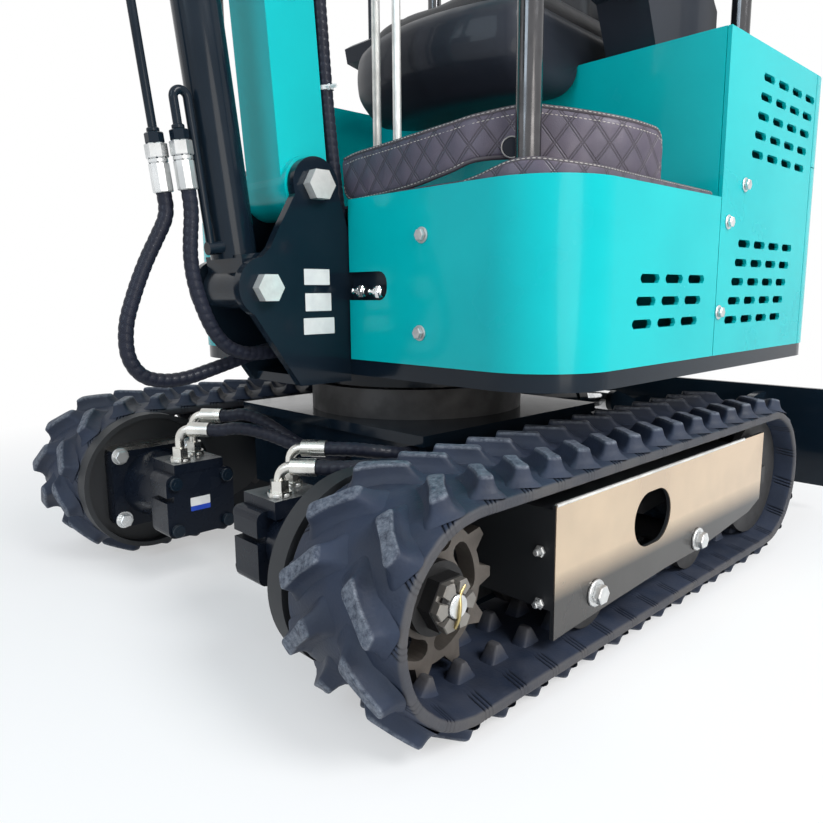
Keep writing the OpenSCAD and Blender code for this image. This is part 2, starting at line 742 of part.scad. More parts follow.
// Consoles on the engine cover at both sides of the seat, each with a joystick
module consoles() {
    z0 = hood_z + 0.5;
    stick = [seam_x + 45, 280];
    color(black) both_sides() {
        slab(235, 325) polygon([
            [stick[0] - 290, z0], [stick[0] - 80, z0], [stick[0] - 40, z0 + 84], [stick[0] + 34, z0 + 100],
            [stick[0] + 40, z0 + 128], [stick[0] + 20, z0 + 140], [stick[0] - 260, z0 + 140], [stick[0] - 290, z0 + 110]
        ]);
        translate([stick[0], stick[1], z0 + 138]) cylinder(r = 9, h = 110);
        translate([stick[0], stick[1], z0 + 238]) cylinder(r = 18, h = 84);
    }
}

module tank_box() {
    color(teal) translate([seam_x + 6, -house_w / 2 + 20, floor_z + 4.6])
        linear_extrude(240) polygon(round_rect(0, 0, 140, 130, 16));
}

module canopy_posts() {
    color(dark_steel) both_sides() {
        translate([post_front[0], post_front[1], floor_z - 2]) cylinder(d = post_d, h = roof_z - sheet - floor_z + 2);
        translate([post_rear[0], post_rear[1], hood_z]) cylinder(d = post_d, h = roof_z - sheet - hood_z);
    }
}

// Canopy roof: a sheet pan, open below
module canopy_roof() {
    rim = 40;
    front_x = 230;
    rear_x = -500;
    half = 420;
    color(teal) translate([0, 0, roof_z - rim]) difference() {
        linear_extrude(rim) polygon(round_rect(rear_x, -half, front_x, half, 60));
        translate([0, 0, -sheet]) linear_extrude(rim)
            polygon(round_rect(rear_x + sheet, -half + sheet, front_x - sheet, half - sheet, 60 - sheet));
    }
}

// Boom: gooseneck box with a foot boss, a fork at its tip and lugs for the two cylinders
module boom() {
    h = boom_d / 2;
    knee = (low_angle + up_angle) / 2;
    spread = h / cos((low_angle - up_angle) / 2);
    tip_r = h * 0.8;
    lug_y = 24;
    lug_t = 12;
    color(teal) {
        difference() {
            union() {
                slab(-boom_w / 2, boom_w / 2) {
                    polygon([
                        foot + polar(h, low_angle + 90), foot + polar(h, low_angle - 90),
                        bend + polar(spread, knee - 90), tip + polar(tip_r, up_angle - 90),
                        tip + polar(tip_r, up_angle + 90), bend + polar(spread, knee + 90)
                    ]);
                    translate(tip) circle(tip_r);
                }
                bar(foot, 44, -bracket_y + bracket_t + side_clear, bracket_y - bracket_t - side_clear);
                both_sides() slab(lug_y, lug_y + lug_t) {
                    strap(bend + polar(30, knee - 90), ram_eye, 60, 36);
                    strap(bend + polar(64, up_angle), arm_ram_base, 62, 32);
                }
            }
            bar(foot, foot_pin_r + pin_clear, -bracket_y, bracket_y);
            slab(-arm_w / 2 - side_clear, arm_w / 2 + side_clear) translate(tip) circle(110);
            slab(-lug_y, lug_y) translate(ram_eye) circle(64);
            slab(-lug_y, lug_y) translate(arm_ram_base) circle(34);
        }
        bar(tip, tip_pin_r, -boom_w / 2 - 8, boom_w / 2 + 8);
        bar(arm_ram_base, small_pin_r, -lug_y - lug_t - 6, lug_y + lug_t + 6);
    }
}

module boom_cylinder_barrel() {
    tube_len = 510;
    color(black) along(ram_pin, ram_eye) {
        ram_tube(tube_len, 33, 26, 18, 30, 104, ram_pin_r);
        ram_pipes(tube_len);
    }
}

// Steel pipes in front of the boom cylinder: the outer one feeds the rod end, the inner one turns back to the base
hose_fit_s = 141;
pipe_out = 84;
pipe_in = 62;
pipe_y = 14;
module ram_pipes(tube_len) {
    r = 6;
    fit_r = 13;
    fit_len = 62;
    top_s = tube_len - 17;
    turn_s = 255;
    base_s = 60;
    back = 42;
    turn_r = (pipe_in - back) / 2;
    for (f = [[-pipe_y, pipe_out], [pipe_y, pipe_in]])
        translate([hose_fit_s, f[0], -f[1]]) rotate([0, 90, 0]) cylinder(r = fit_r, h = fit_len, $fn = 6);
    translate([hose_fit_s, -pipe_y, -pipe_out]) rotate([0, 90, 0]) cylinder(r = r, h = top_s - hose_fit_s);
    translate([top_s, -pipe_y, -pipe_out - r]) cylinder(r = 9, h = pipe_out + r - 30);
    translate([hose_fit_s, pipe_y, -pipe_in]) rotate([0, 90, 0]) cylinder(r = r, h = turn_s - hose_fit_s);
    translate([turn_s, pipe_y, -pipe_in + turn_r]) rotate([90, 0, 0]) rotate(-90)
        rotate_extrude(angle = 180) translate([turn_r, 0]) circle(r);
    translate([base_s, pipe_y, -back]) rotate([0, 90, 0]) cylinder(r = r, h = turn_s - base_s);
    translate([base_s, pipe_y, -back - r]) cylinder(r = 9, h = back + r - 25);
}

module boom_cylinder_rod() {
    color(steel) along(ram_eye, 2 * ram_eye - ram_pin) ram_rod(460, 18, 26, 28, 46);
}

boom_hose_d = 24;
ram_angle = atan2(ram_eye[1] - ram_pin[1], ram_eye[0] - ram_pin[0]);
function pipe_end(side, out, past) =
    let (p = ram_pin + polar(hose_fit_s - hose_gap - past, ram_angle) + polar(out, ram_angle - 90))
    [p[0], side * pipe_y, p[1]];
boom_route_a = [
    pipe_end(-1, pipe_out, 0), pipe_end(-1, pipe_out, 20), [461, -14, 570], [473, -15, 546], [491, -16, 512],
    [509, -17, 470], [522, -18, 428], [522, -18, 388], [505, -18, 361], [475, -18, 351], [440, -18, 352],
    [405, -18, 360], [370, -18, 369], [335, -18, 378], [300, -18, 385], [260, -18, 388], [223.3, -18, 388]
];
boom_route_b = [
    pipe_end(1, pipe_in, 0), pipe_end(1, pipe_in, 20), [436, 14, 572], [439, 15, 548], [441, 16, 520],
    [438, 17, 486], [428, 18, 450], [413, 18, 418], [393, 18, 396], [366, 18, 385], [335, 18, 383],
    [300, 18, 385], [260, 18, 388], [223.3, 18, 388]
];

module boom_hose_a() { color(rubber) hose(boom_route_a, boom_hose_d); }
module boom_hose_b() { color(rubber) hose(boom_route_b, boom_hose_d); }

module arm() {
    slot_y = 22;
    boss_r = 20;
    color(teal) {
        difference() {
            union() {
                slab(-arm_w / 2, arm_w / 2) {
                    strap(tip, bucket_pin, 46, 22);
                    strap(tip, arm_ram_eye, 44, 30);
                    strap(tip + polar(60, arm_angle), bucket_ram_base, 42, 26);
                }
                for (p = [bucket_pin, lever_pivot]) bar(p, boss_r, -ear_y + side_clear, ear_y - side_clear);
            }
            bar(tip, tip_pin_r + pin_clear, -arm_w, arm_w);
            slab(-slot_y, slot_y) translate(arm_ram_eye) circle(80);
            slab(-slot_y, slot_y) translate(bucket_ram_base) circle(36);
        }
        bar(bucket_pin, bucket_pin_r, -ear_y - ear_t - 6, ear_y + ear_t + 6);
        bar(lever_pivot, small_pin_r, -ear_y - bar_t - 6, ear_y + bar_t + 6);
        bar(bucket_ram_base, small_pin_r, -arm_w / 2 - 6, arm_w / 2 + 6);
    }
}

module arm_cylinder_barrel() {
    color(black) along(arm_ram_base, arm_ram_eye) ram_tube(530, 30, 24, 16, 26, 42, small_pin_r);
}

module arm_cylinder_rod() {
    color(steel) along(arm_ram_eye, 2 * arm_ram_eye - arm_ram_base) ram_rod(500, 16, 24, 26, 40);
}

module bucket_cylinder_barrel() {
    color(black) along(bucket_ram_base, lever_pin) ram_tube(455, 25, 19, 14, 24, 42, small_pin_r);
}

module bucket_cylinder_rod() {
    color(steel) along(lever_pin, 2 * lever_pin - bucket_ram_base) ram_rod(440, 14, 19, 22, 42);
}

module tipping_lever() {
    color(black) both_sides() {
        difference() {
            slab(ear_y, ear_y + bar_t) strap(lever_pivot, lever_pin, 26, 24);
            bar(lever_pivot, small_pin_r + pin_clear, 0, 2 * ear_y);
        }
        bar(lever_pin, small_pin_r, bar_y - 4, ear_y + bar_t + 6);
    }
}

module bucket_link() {
    color(black) both_sides() difference() {
        slab(bar_y, bar_y + bar_t) strap(lever_pin, link_pin, 20, 20);
        bar(lever_pin, small_pin_r + pin_clear, 0, 2 * bar_y);
        bar(link_pin, small_pin_r + pin_clear, 0, 2 * bar_y);
    }
}

// Bucket in its own frame: pin at the origin, link pin along X, and a curved shell with a lip and teeth
bowl = [-10, -215];
bowl_r = 165;
lip = [-257, -331];
lip_turn = atan2(lip[1] - bowl[1], lip[0] - bowl[0]) + acos(bowl_r / norm(lip - bowl)) + 360;
mouth_turn = 100;
bucket_t = 10;

// Side outline of the bucket, set in by a wall and run on past the mouth
module bucket_outline(inset) {
    r = bowl_r - inset;
    past = inset > 0 ? polar(100, mouth_turn + 42) : [0, 0];
    top = bowl + polar(inset > 0 ? r - 6 : r, mouth_turn);
    edge = lip - polar(inset, lip_turn);
    translate(bowl) circle(r);
    polygon([bowl, bowl + polar(r, lip_turn), edge, edge + past, top + past, top]);
}

// What lies outside the straight line of the mouth
module bucket_mouth() {
    top = bowl + polar(bowl_r, mouth_turn);
    out = polar(400, mouth_turn + 42);
    polygon([top + (top - lip) * 0.3, lip - (top - lip) * 0.3, lip + out, top + out]);
}

module bucket_tooth() {
    translate(lip) rotate(lip_turn - 90) polygon([[-30, -4], [0, -4], [52, -12], [54, -10], [10, 8], [-30, 4]]);
}

module bucket() {
    half = bucket_w / 2;
    tooth_w = 34;
    color(black) translate([bucket_pin[0], 0, bucket_pin[1]]) rotate([0, -(arm_angle + lever_angle), 0]) {
        difference() {
            union() {
                slab(-half, half) difference() {
                    bucket_outline(0);
                    bucket_mouth();
                }
                both_sides() slab(ear_y, ear_y + ear_t) {
                    strap([0, 0], [lever_r, 0], 30, 26);
                    polygon([[-29, -5], [lever_r + 25, -5], [lever_r + 15, -140], [-29, -90]]);
                }
            }
            slab(-half + bucket_t, half - bucket_t) bucket_outline(bucket_t);
            bar([0, 0], bucket_pin_r + pin_clear, -half, half);
        }
        bar([lever_r, 0], small_pin_r, -ear_y - ear_t - 6, ear_y + ear_t + 6);
        for (i = [0 : bucket_teeth - 1]) {
            y = -half + tooth_w / 2 + i * (bucket_w - tooth_w) / (bucket_teeth - 1);
            slab(y - tooth_w / 2, y + tooth_w / 2) bucket_tooth();
        }
    }
}

module blade() {
    half = track_y + track_w / 2;
    z0 = axle_z - belt_r + 35;
    curve_r = 330;
    plate = 12;
    arm_y = 132;
    lug_y = 26;
    color(black) {
        slab(-half, half) intersection() {
            difference() {
                translate([-blade_x - curve_r + 40, z0 + blade_h / 2]) circle(curve_r, $fn = 96);
                translate([-blade_x - curve_r + 40, z0 + blade_h / 2]) circle(curve_r - plate, $fn = 96);
            }
            translate([-blade_x - 20, z0]) square([100, blade_h]);
        }
        both_sides() difference() {
            slab(arm_y, arm_y + 16) strap(blade_pivot, [-blade_x + 62, 145], 28, 36);
            bar(blade_pivot, blade_pin_r + pin_clear, 0, 2 * arm_y);
        }
        both_sides() slab(lug_y, lug_y + 12) strap(blade_ram_eye, [-blade_x + 60, 172], 26, 34);
        both_sides() difference() {
            slab(lash_y, lash_y + lash_t) strap(lash_eye, [-blade_x + 36, lash_eye[1]], 30, 34);
            bar(lash_eye, lash_r, 0, 2 * lash_y);
        }
    }
}

module blade_cylinder_barrel() {
    color(black) along(blade_ram_base, blade_ram_eye) ram_tube(262, 30, 24, 16, 24, 56, blade_pin_r);
}

module blade_cylinder_rod() {
    color(steel) along(blade_ram_eye, 2 * blade_ram_eye - blade_ram_base) ram_rod(270, 16, 24, 24, 46);
}

car_body();
slew_ring();
track_frame_left();
track_frame_right();
track_left();
track_right();
sprockets();
idlers();
rollers();
travel_motors();
travel_hose_left_a();
travel_hose_left_b();
travel_hose_right_a();
travel_hose_right_b();
platform();
pivot_bracket();
pivot_pins();
front_panel_left();
front_panel_right();
rear_panel_left();
rear_panel_right();
counterweight();
hood();
engine_wall();
engine();
floor_plate();
floor_mat();
seat();
travel_levers();
consoles();
tank_box();
canopy_posts();
canopy_roof();
boom();
boom_cylinder_barrel();
boom_cylinder_rod();
boom_hose_a();
boom_hose_b();
arm();
arm_cylinder_barrel();
arm_cylinder_rod();
bucket();
bucket_cylinder_barrel();
bucket_cylinder_rod();
tipping_lever();
bucket_link();
blade();
blade_cylinder_barrel();
blade_cylinder_rod();
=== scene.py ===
from math import cos, pi, radians, sin

import bmesh
import bpy
import numpy as np
from mathutils import Matrix, Vector


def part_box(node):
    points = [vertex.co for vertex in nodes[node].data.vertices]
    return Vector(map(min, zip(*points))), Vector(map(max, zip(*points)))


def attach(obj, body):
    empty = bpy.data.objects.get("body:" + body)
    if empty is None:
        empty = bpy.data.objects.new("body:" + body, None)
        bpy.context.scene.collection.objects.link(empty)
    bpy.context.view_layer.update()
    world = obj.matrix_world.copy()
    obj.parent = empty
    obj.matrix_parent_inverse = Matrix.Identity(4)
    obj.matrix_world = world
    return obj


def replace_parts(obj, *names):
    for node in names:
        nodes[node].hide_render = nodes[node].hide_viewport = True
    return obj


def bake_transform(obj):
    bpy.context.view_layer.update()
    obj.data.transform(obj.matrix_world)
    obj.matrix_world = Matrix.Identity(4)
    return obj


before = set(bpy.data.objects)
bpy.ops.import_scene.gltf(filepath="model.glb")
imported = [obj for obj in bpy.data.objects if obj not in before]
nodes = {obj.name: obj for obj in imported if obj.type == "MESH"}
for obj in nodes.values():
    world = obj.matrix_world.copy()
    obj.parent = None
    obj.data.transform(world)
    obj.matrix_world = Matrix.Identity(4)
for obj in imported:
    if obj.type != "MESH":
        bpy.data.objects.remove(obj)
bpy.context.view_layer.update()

LEFT, RIGHT = 1, -1
# Width and height of a sewn diamond in the mat
QUILT_W, QUILT_H = 0.036, 0.047


# Shapes: each is an array of points and a list of faces

def lattice(points, wrap_u=False):
    """A skin over a grid of points, each cell one quad: every row closes on itself, and so does every column
    with wrap_u."""
    rows, columns = points.shape[:2]
    index = np.arange(rows * columns).reshape(rows, columns)
    if wrap_u:
        index = np.vstack([index, index[:1]])
    index = np.hstack([index, index[:, :1]])
    quads = np.stack([index[:-1, :-1], index[:-1, 1:], index[1:, 1:], index[1:, :-1]], axis=-1)
    return points.reshape(-1, 3), quads.reshape(-1, 4).tolist()


def joined(shapes):
    """Several shapes as one: points stacked, faces shifted by the points before them."""
    starts = np.cumsum([0] + [len(points) for points, _ in shapes[:-1]])
    faces = [[i + start for i in face] for start, (_, part) in zip(starts, shapes) for face in part]
    return np.vstack([points for points, _ in shapes]), faces


def unit(vectors):
    """Vectors at unit length, along the last axis of an array."""
    vectors = np.asarray(vectors, float)
    return vectors / np.linalg.norm(vectors, axis=-1, keepdims=True)


def square_frame(axis):
    """Two unit vectors at right angles to an axis and to each other, and the axis at unit length."""
    axis = unit(axis)
    helper = np.array([0.0, 0.0, 1.0]) if abs(axis[2]) < 0.8 else np.array([1.0, 0.0, 0.0])
    side = unit(np.cross(helper, axis))
    return side, np.cross(axis, side), axis


def circle(count, side, up):
    """Even steps round a unit circle in the plane of two vectors."""
    angle = 2 * pi * np.arange(count) / count
    return np.cos(angle)[:, None] * side + np.sin(angle)[:, None] * up


def closed_ends(shape, count):
    """A shape with its first and its last ring of points closed by a face each."""
    points, faces = shape
    last = list(range(len(points) - count, len(points)))
    return points, faces + [list(range(count)), last[::-1]]


def lathe(profile, place, axis, turns=28):
    """A turned form: each profile pair is a radius and a height along the axis, carried round a circle."""
    side, up, axis = square_frame(axis)
    radius, height = np.asarray(profile, float).T[:, :, None, None]
    return lattice(np.asarray(place) + height * axis + radius * circle(turns, side, up))


def plate(outline, place, across, up, thick, edge=0.0):
    """A flat plate: its outline carried through the thickness, with the rims drawn in by a small edge."""
    across, up = np.asarray(across, float), np.asarray(up, float)
    normal = np.cross(across, up)
    outline = np.asarray(outline, float)
    centre = outline.mean(axis=0)
    inner = centre + (outline - centre) * (1 - edge / np.abs(outline - centre).max())
    steps = [(inner, 0.0), (outline, edge), (outline, thick - edge), (inner, thick)]
    rings = np.array([
        np.asarray(place) + ring[:, :1] * across + ring[:, 1:] * up + height * normal
        for ring, height in steps
    ])
    points, faces = lattice(rings)
    count = len(outline)
    faces.append(list(range(count))[::-1])
    faces.append(list(range(3 * count, 4 * count)))
    return points, faces


def rounded_box_outline(width, height, radius, corner_points=6):
    """A rectangle with quarter circles at its corners, counter-clockwise."""
    quarter = np.linspace(0, pi / 2, corner_points)
    corners = [(1, 1, 0), (-1, 1, 1), (-1, -1, 2), (1, -1, 3)]
    return np.vstack([
        np.column_stack([
            sx * (width / 2 - radius) + radius * np.cos(quarter + turn * pi / 2),
            sy * (height / 2 - radius) + radius * np.sin(quarter + turn * pi / 2),
        ])
        for sx, sy, turn in corners
    ])


def smooth_path(points, per_span):
    """A curve through all points: each span is a cubic, and its slope at a point is half the step between
    that point's neighbours."""
    points = np.asarray(points, float)
    padded = np.vstack([2 * points[0] - points[1], points, 2 * points[-1] - points[-2]])
    before, start, end, after = padded[:-3], padded[1:-2], padded[2:-1], padded[3:]
    t = (np.arange(per_span) / per_span)[:, None, None]
    spans = 0.5 * (
        2 * start + (end - before) * t
        + (2 * before - 5 * start + 4 * end - after) * t ** 2
        + (3 * start - before - 3 * end + after) * t ** 3
    )
    return np.vstack([spans.transpose(1, 0, 2).reshape(-1, points.shape[1]), points[-1:]])


def lengths_along(path):
    """The distance walked from the first point of a path to each of its points."""
    return np.concatenate([[0], np.cumsum(np.linalg.norm(np.diff(path[:, :3], axis=0), axis=1))])


def even_steps(path, step):
    """The same path with its points an even step apart, every column taken between its neighbours."""
    walked = lengths_along(path)
    spots = np.linspace(0, walked[-1], max(2, int(walked[-1] / step)))
    return np.column_stack([np.interp(spots, walked, column) for column in path.T])


def tube(path, radius, sides, reference=(0.0, 1.0, 0.0)):
    """A round bar along a path: a circle at each point, square to the path. The radius is one number, or
    one for each point of each circle."""
    path = np.asarray(path, float)
    heading = unit(np.gradient(path, axis=0))
    side = unit(np.cross(heading, np.asarray(reference, float)))
    ring = circle(sides, side[:, None], np.cross(heading, side)[:, None])
    radius = np.broadcast_to(radius, (len(path), sides))
    return closed_ends(lattice(path[:, None] + radius[:, :, None] * ring), sides)


def stack(place, axis, sections):
    """Nuts and collars in a row on one axis: each section has its number of sides, radius and length."""
    shapes, start = [], 0.0
    for sides, radius, length in sections:
        edge = min(0.0012, length / 4)
        end = start + length
        profile = [(0, start), (radius - edge, start), (radius, start + edge), (radius, end - edge)]
        profile += [(radius - edge, end), (0, end)]
        shapes.append(lathe(profile, place, axis, turns=sides))
        start = end
    return joined(shapes)


def hex_bolt(place, axis, across=0.015, head=0.006, washer=0.011):
    """A hexagon head on a round washer."""
    return stack(place, axis, [(28, washer, 0.0022), (6, across / 3 ** 0.5, head)])


def piece(name, shape, finish, body, sharp, marks=None):
    """A mesh from a shape, with doubles merged and faces turned outwards, riding on a body of the frame."""
    points, faces = shape
    mesh = bpy.data.meshes.new(name)
    mesh.from_pydata(points.tolist(), [], faces)
    for title, values in (marks or {}).items():
        kind, field = ("FLOAT", "value") if values.ndim == 1 else ("FLOAT_VECTOR", "vector")
        data = mesh.attributes.new(title, kind, "POINT").data
        data.foreach_set(field, values.astype(np.float32).reshape(-1))
    work = bmesh.new()
    work.from_mesh(mesh)
    bmesh.ops.remove_doubles(work, verts=work.verts, dist=1e-6)
    bmesh.ops.recalc_face_normals(work, faces=work.faces)
    work.to_mesh(mesh)
    work.free()
    mesh.shade_smooth()
    mesh.set_sharp_from_angle(angle=radians(sharp))
    mesh.materials.append(finish)
    made = bpy.data.objects.new(name, mesh)
    bpy.context.scene.collection.objects.link(made)
    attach(made, body)
    return made


def mirrored(shape):
    """The same shape on the other side of the machine: Y changes its sign."""
    points, faces = shape
    return points * np.array([1.0, -1.0, 1.0]), [face[::-1] for face in faces]


def both(shapes):
    """Shapes on the left of the machine and their mirror images, as one."""
    return joined(shapes + [mirrored(shape) for shape in shapes])


# Camera, floor and light

def set_camera():
    """The photograph's viewpoint: a place, a heading from +X, a dip and a slight roll."""
    image_px, lens_px, sensor_mm = 823, 718.07, 36.0
    place = Vector((0.914, 0.944, 0.470))
    heading, dip, roll = radians(226.34), radians(-9.41), radians(0.45)
    forward = Vector((cos(dip) * cos(heading), cos(dip) * sin(heading), sin(dip)))
    level = forward.cross(Vector((0, 0, 1))).normalized()
    down = forward.cross(level)
    right = cos(roll) * level + sin(roll) * down
    down = cos(roll) * down - sin(roll) * level
    data = bpy.data.cameras.new("photo_camera")
    data.sensor_width = sensor_mm
    data.lens = sensor_mm * lens_px / image_px
    data.clip_start = 0.02
    made = bpy.data.objects.new("photo_camera", data)
    made.matrix_world = Matrix.Translation(place) @ Matrix((right, -down, -forward)).transposed().to_4x4()
    bpy.context.scene.collection.objects.link(made)
    bpy.context.scene.camera = made


def area_lamp(name, place, target, size, watts, colour=(1, 1, 1)):
    """A round lamp at a place, turned towards a target."""
    data = bpy.data.lights.new(name, "AREA")
    data.shape = "DISK"
    data.size = size
    data.energy = watts
    data.color = colour
    made = bpy.data.objects.new(name, data)
    aim = Vector(target) - Vector(place)
    made.matrix_world = Matrix.Translation(Vector(place)) @ aim.to_track_quat("-Z", "Y").to_matrix().to_4x4()
    bpy.context.scene.collection.objects.link(made)


def put(tree, node, **inputs):
    """Feeds a node's inputs, by name with _ for a blank or by number as i0: each gets a value or a socket."""
    for name, value in inputs.items():
        numbered = name[0] == "i" and name[1:].isdigit()
        socket = node.inputs[int(name[1:]) if numbered else name.replace("_", " ")]
        if isinstance(value, bpy.types.NodeSocket):
            tree.links.new(value, socket)
        else:
            socket.default_value = value
    return node


def add(tree, kind, **inputs):
    """One new shader node with its inputs fed."""
    return put(tree, tree.nodes.new("ShaderNode" + kind), **inputs)


def reckon(tree, operation, first, second=0.0):
    """A sum, product or other plain operation on two values or sockets."""
    made = add(tree, "Math", i0=first, i1=second)
    made.operation = operation
    return made.outputs[0]


def set_world():
    """Soft light from all round, cooler above and warmer near the ground, with a plain white backdrop."""
    world = bpy.data.worlds.new("studio")
    bpy.context.scene.world = world
    world.use_nodes = True
    tree = world.node_tree
    tree.nodes.clear()
    coordinates = add(tree, "TexCoord")
    height = add(tree, "SeparateXYZ", Vector=coordinates.outputs["Generated"])
    ramp = add(tree, "ValToRGB", Fac=height.outputs["Z"])
    ramp.color_ramp.elements[0].color = (0.62, 0.58, 0.54, 1)
    ramp.color_ramp.elements[1].color = (0.82, 0.90, 1.0, 1)
    ramp.color_ramp.elements[1].position = 0.6
    light = add(tree, "Background", Color=ramp.outputs["Color"], Strength=0.55)
    backdrop = add(tree, "Background", Color=(1, 1, 1, 1), Strength=1.0)
    mixed = add(tree, "MixShader", Fac=seen_directly(tree), i1=light.outputs[0], i2=backdrop.outputs[0])
    add(tree, "OutputWorld", Surface=mixed.outputs[0])


def seen_directly(tree):
    """One where a ray comes from the camera, a mirror or glass, and nought for light that falls on things."""
    ray = add(tree, "LightPath")
    mirrored_ray = reckon(tree, "MAXIMUM", ray.outputs["Is Camera Ray"], ray.outputs["Is Glossy Ray"])
    return reckon(tree, "MAXIMUM", mirrored_ray, ray.outputs["Is Transmission Ray"])


def set_floor():
    """A wide pale floor that keeps the machine's shadow and fades into the white backdrop further out."""
    half, fade_start, fade_end, least = 14.0, 0.5, 1.9, 0.45
    mesh = bpy.data.meshes.new("floor")
    corners = [(-half, -half, 0), (half, -half, 0), (half, half, 0), (-half, half, 0)]
    mesh.from_pydata(corners, [], [(0, 1, 2, 3)])
    floor = bpy.data.objects.new("floor", mesh)
    bpy.context.scene.collection.objects.link(floor)
    finish, tree, shader = new_finish("pale_floor")
    put(tree, shader, Base_Color=(0.9, 0.9, 0.9, 1), Roughness=0.9)
    coordinates = add(tree, "TexCoord")
    away = add(tree, "VectorMath", i0=coordinates.outputs["Object"])
    away.operation = "LENGTH"
    fade = add(tree, "MapRange", Value=away.outputs["Value"], i1=fade_start, i2=fade_end, i3=least, i4=1.0)
    share = reckon(tree, "MULTIPLY", fade.outputs[0], seen_directly(tree))
    white = add(tree, "Emission", Color=(1, 1, 1, 1), Strength=1.0)
    mixed = add(tree, "MixShader", Fac=share, i1=shader.outputs[0], i2=white.outputs[0])
    put(tree, tree.nodes["Material Output"], Surface=mixed.outputs[0])
    mesh.materials.append(finish)


# Finishes

def new_finish(name):
    """A material with a Principled shader and an output."""
    finish = bpy.data.materials.new(name)
    finish.use_nodes = True
    tree = finish.node_tree
    tree.nodes.clear()
    shader = add(tree, "BsdfPrincipled")
    add(tree, "OutputMaterial", Surface=shader.outputs[0])
    return finish, tree, shader


def new_group(name, inputs, outputs):
    """An empty shader group with number inputs, given with their values, and number outputs."""
    group = bpy.data.node_groups.new(name, "ShaderNodeTree")
    for title, value in inputs.items():
        group.interface.new_socket(title, in_out="INPUT", socket_type="NodeSocketFloat").default_value = value
    for title in outputs:
        group.interface.new_socket(title, in_out="OUTPUT", socket_type="NodeSocketFloat")
    return group, group.nodes.new("NodeGroupInput"), group.nodes.new("NodeGroupOutput")


def patches_group():
    """Broad soft patches and fine grain, both from noise in the piece's own coordinates."""
    scales = {"Patch Scale": 9.0, "Grain Scale": 400.0}
    group, given, made = new_group("patches_and_grain", scales, ["Patches", "Grain"])
    place = add(group, "TexCoord").outputs["Object"]
    broad = add(group, "TexNoise", Vector=place, Scale=given.outputs[0], Detail=4.0)
    spread = add(group, "MapRange", Value=broad.outputs["Fac"], i1=0.38, i2=0.64)
    fine = add(group, "TexNoise", Vector=place, Scale=given.outputs[1], Detail=2.0)
    put(group, made, i0=spread.outputs[0], i1=fine.outputs["Fac"])
    return group


def dust_group():
    """Dust that lies on upward faces: the object-space normal's height times speckled noise."""
    group, given, made = new_group("dust", {"Amount": 0.4, "Scale": 30.0}, ["Dust"])
    coordinates = add(group, "TexCoord")
    facing = add(group, "SeparateXYZ", Vector=coordinates.outputs["Normal"])
    upward = add(group, "MapRange", Value=facing.outputs["Z"], i1=0.2, i2=1.0)
    speckle = add(group, "TexNoise", Vector=coordinates.outputs["Object"], Scale=given.outputs[1], Detail=6.0)
    patch = add(group, "MapRange", Value=speckle.outputs["Fac"], i1=0.35, i2=0.7)
    lying = reckon(group, "MULTIPLY", upward.outputs[0], patch.outputs[0])
    put(group, made, i0=reckon(group, "MULTIPLY", lying, given.outputs[0]))
    return group


PATCHES = patches_group()
DUST = dust_group()


def place_group(tree, group, **inputs):
    """A shader group placed in a material, with its own values."""
    made = tree.nodes.new("ShaderNodeGroup")
    made.node_tree = group
    return put(tree, made, **inputs)


def rgba(colour):
    """A colour's three parts with full cover; a socket stays as it is."""
    return colour if isinstance(colour, bpy.types.NodeSocket) else (*colour, 1)


def mix(tree, share, first, second):
    """A colour between two colours or colour sockets, by a share."""
    made = tree.nodes.new("ShaderNodeMix")
    made.data_type = "RGBA"
    return put(tree, made, i0=share, i6=rgba(first), i7=rgba(second)).outputs[2]


def ranged(tree, value, low, high):
    """A value from 0 to 1 spread between two limits."""
    return add(tree, "MapRange", Value=value, i3=low, i4=high).outputs[0]


def patchy_finish(name, patch_scale, grain_scale):
    """A new finish with its tree and shader, and the sockets of its broad patches and its fine grain."""
    finish, tree, shader = new_finish(name)
    skin = place_group(tree, PATCHES, Patch_Scale=patch_scale, Grain_Scale=grain_scale)
    return finish, tree, shader, skin.outputs["Patches"], skin.outputs["Grain"]


def feed_shader(tree, shader, colour, roughness, height, strength, distance, **others):
    """Gives a shader its colour and roughness, a bump from a height, and its other inputs by name."""
    relief = add(tree, "Bump", Height=height, Strength=strength, Distance=distance)
    put(tree, shader, Base_Color=colour, Roughness=roughness, Normal=relief.outputs[0], **others)


def coat_of_paint(name, colour, shade, rough, dust=0.1, patch_scale=6.0):
    """Gloss paint: two near colours in patches, a faint orange-peel skin, a clear coat and some dust."""
    finish, tree, shader, patches, grain = patchy_finish(name, patch_scale, 320.0)
    film = place_group(tree, DUST, Amount=dust, Scale=26.0)
    dusty = mix(tree, film.outputs[0], mix(tree, patches, colour, shade), (0.36, 0.33, 0.29))
    feed_shader(tree, shader, dusty, ranged(tree, patches, rough, rough + 0.08), grain, 0.05, 0.0006,
                Specular_IOR_Level=0.14, Coat_Weight=0.12, Coat_Roughness=0.06)
    return finish


def plain_metal(name, colour, rough, grain=700.0, dent=0.06, metallic=1.0):
    """Bare or plated metal: darker patches, and fine grain in its skin."""
    finish, tree, shader, patches, fine = patchy_finish(name, 30.0, grain)
    tone = mix(tree, patches, colour, tuple(0.72 * part for part in colour))
    feed_shader(tree, shader, tone, ranged(tree, patches, rough, rough + 0.14), fine, dent, 0.0006,
                Metallic=metallic)
    return finish


def marked(tree, title):
    """The value that a piece carries on its points under a title."""
    made = add(tree, "Attribute")
    made.attribute_name = title
    return made


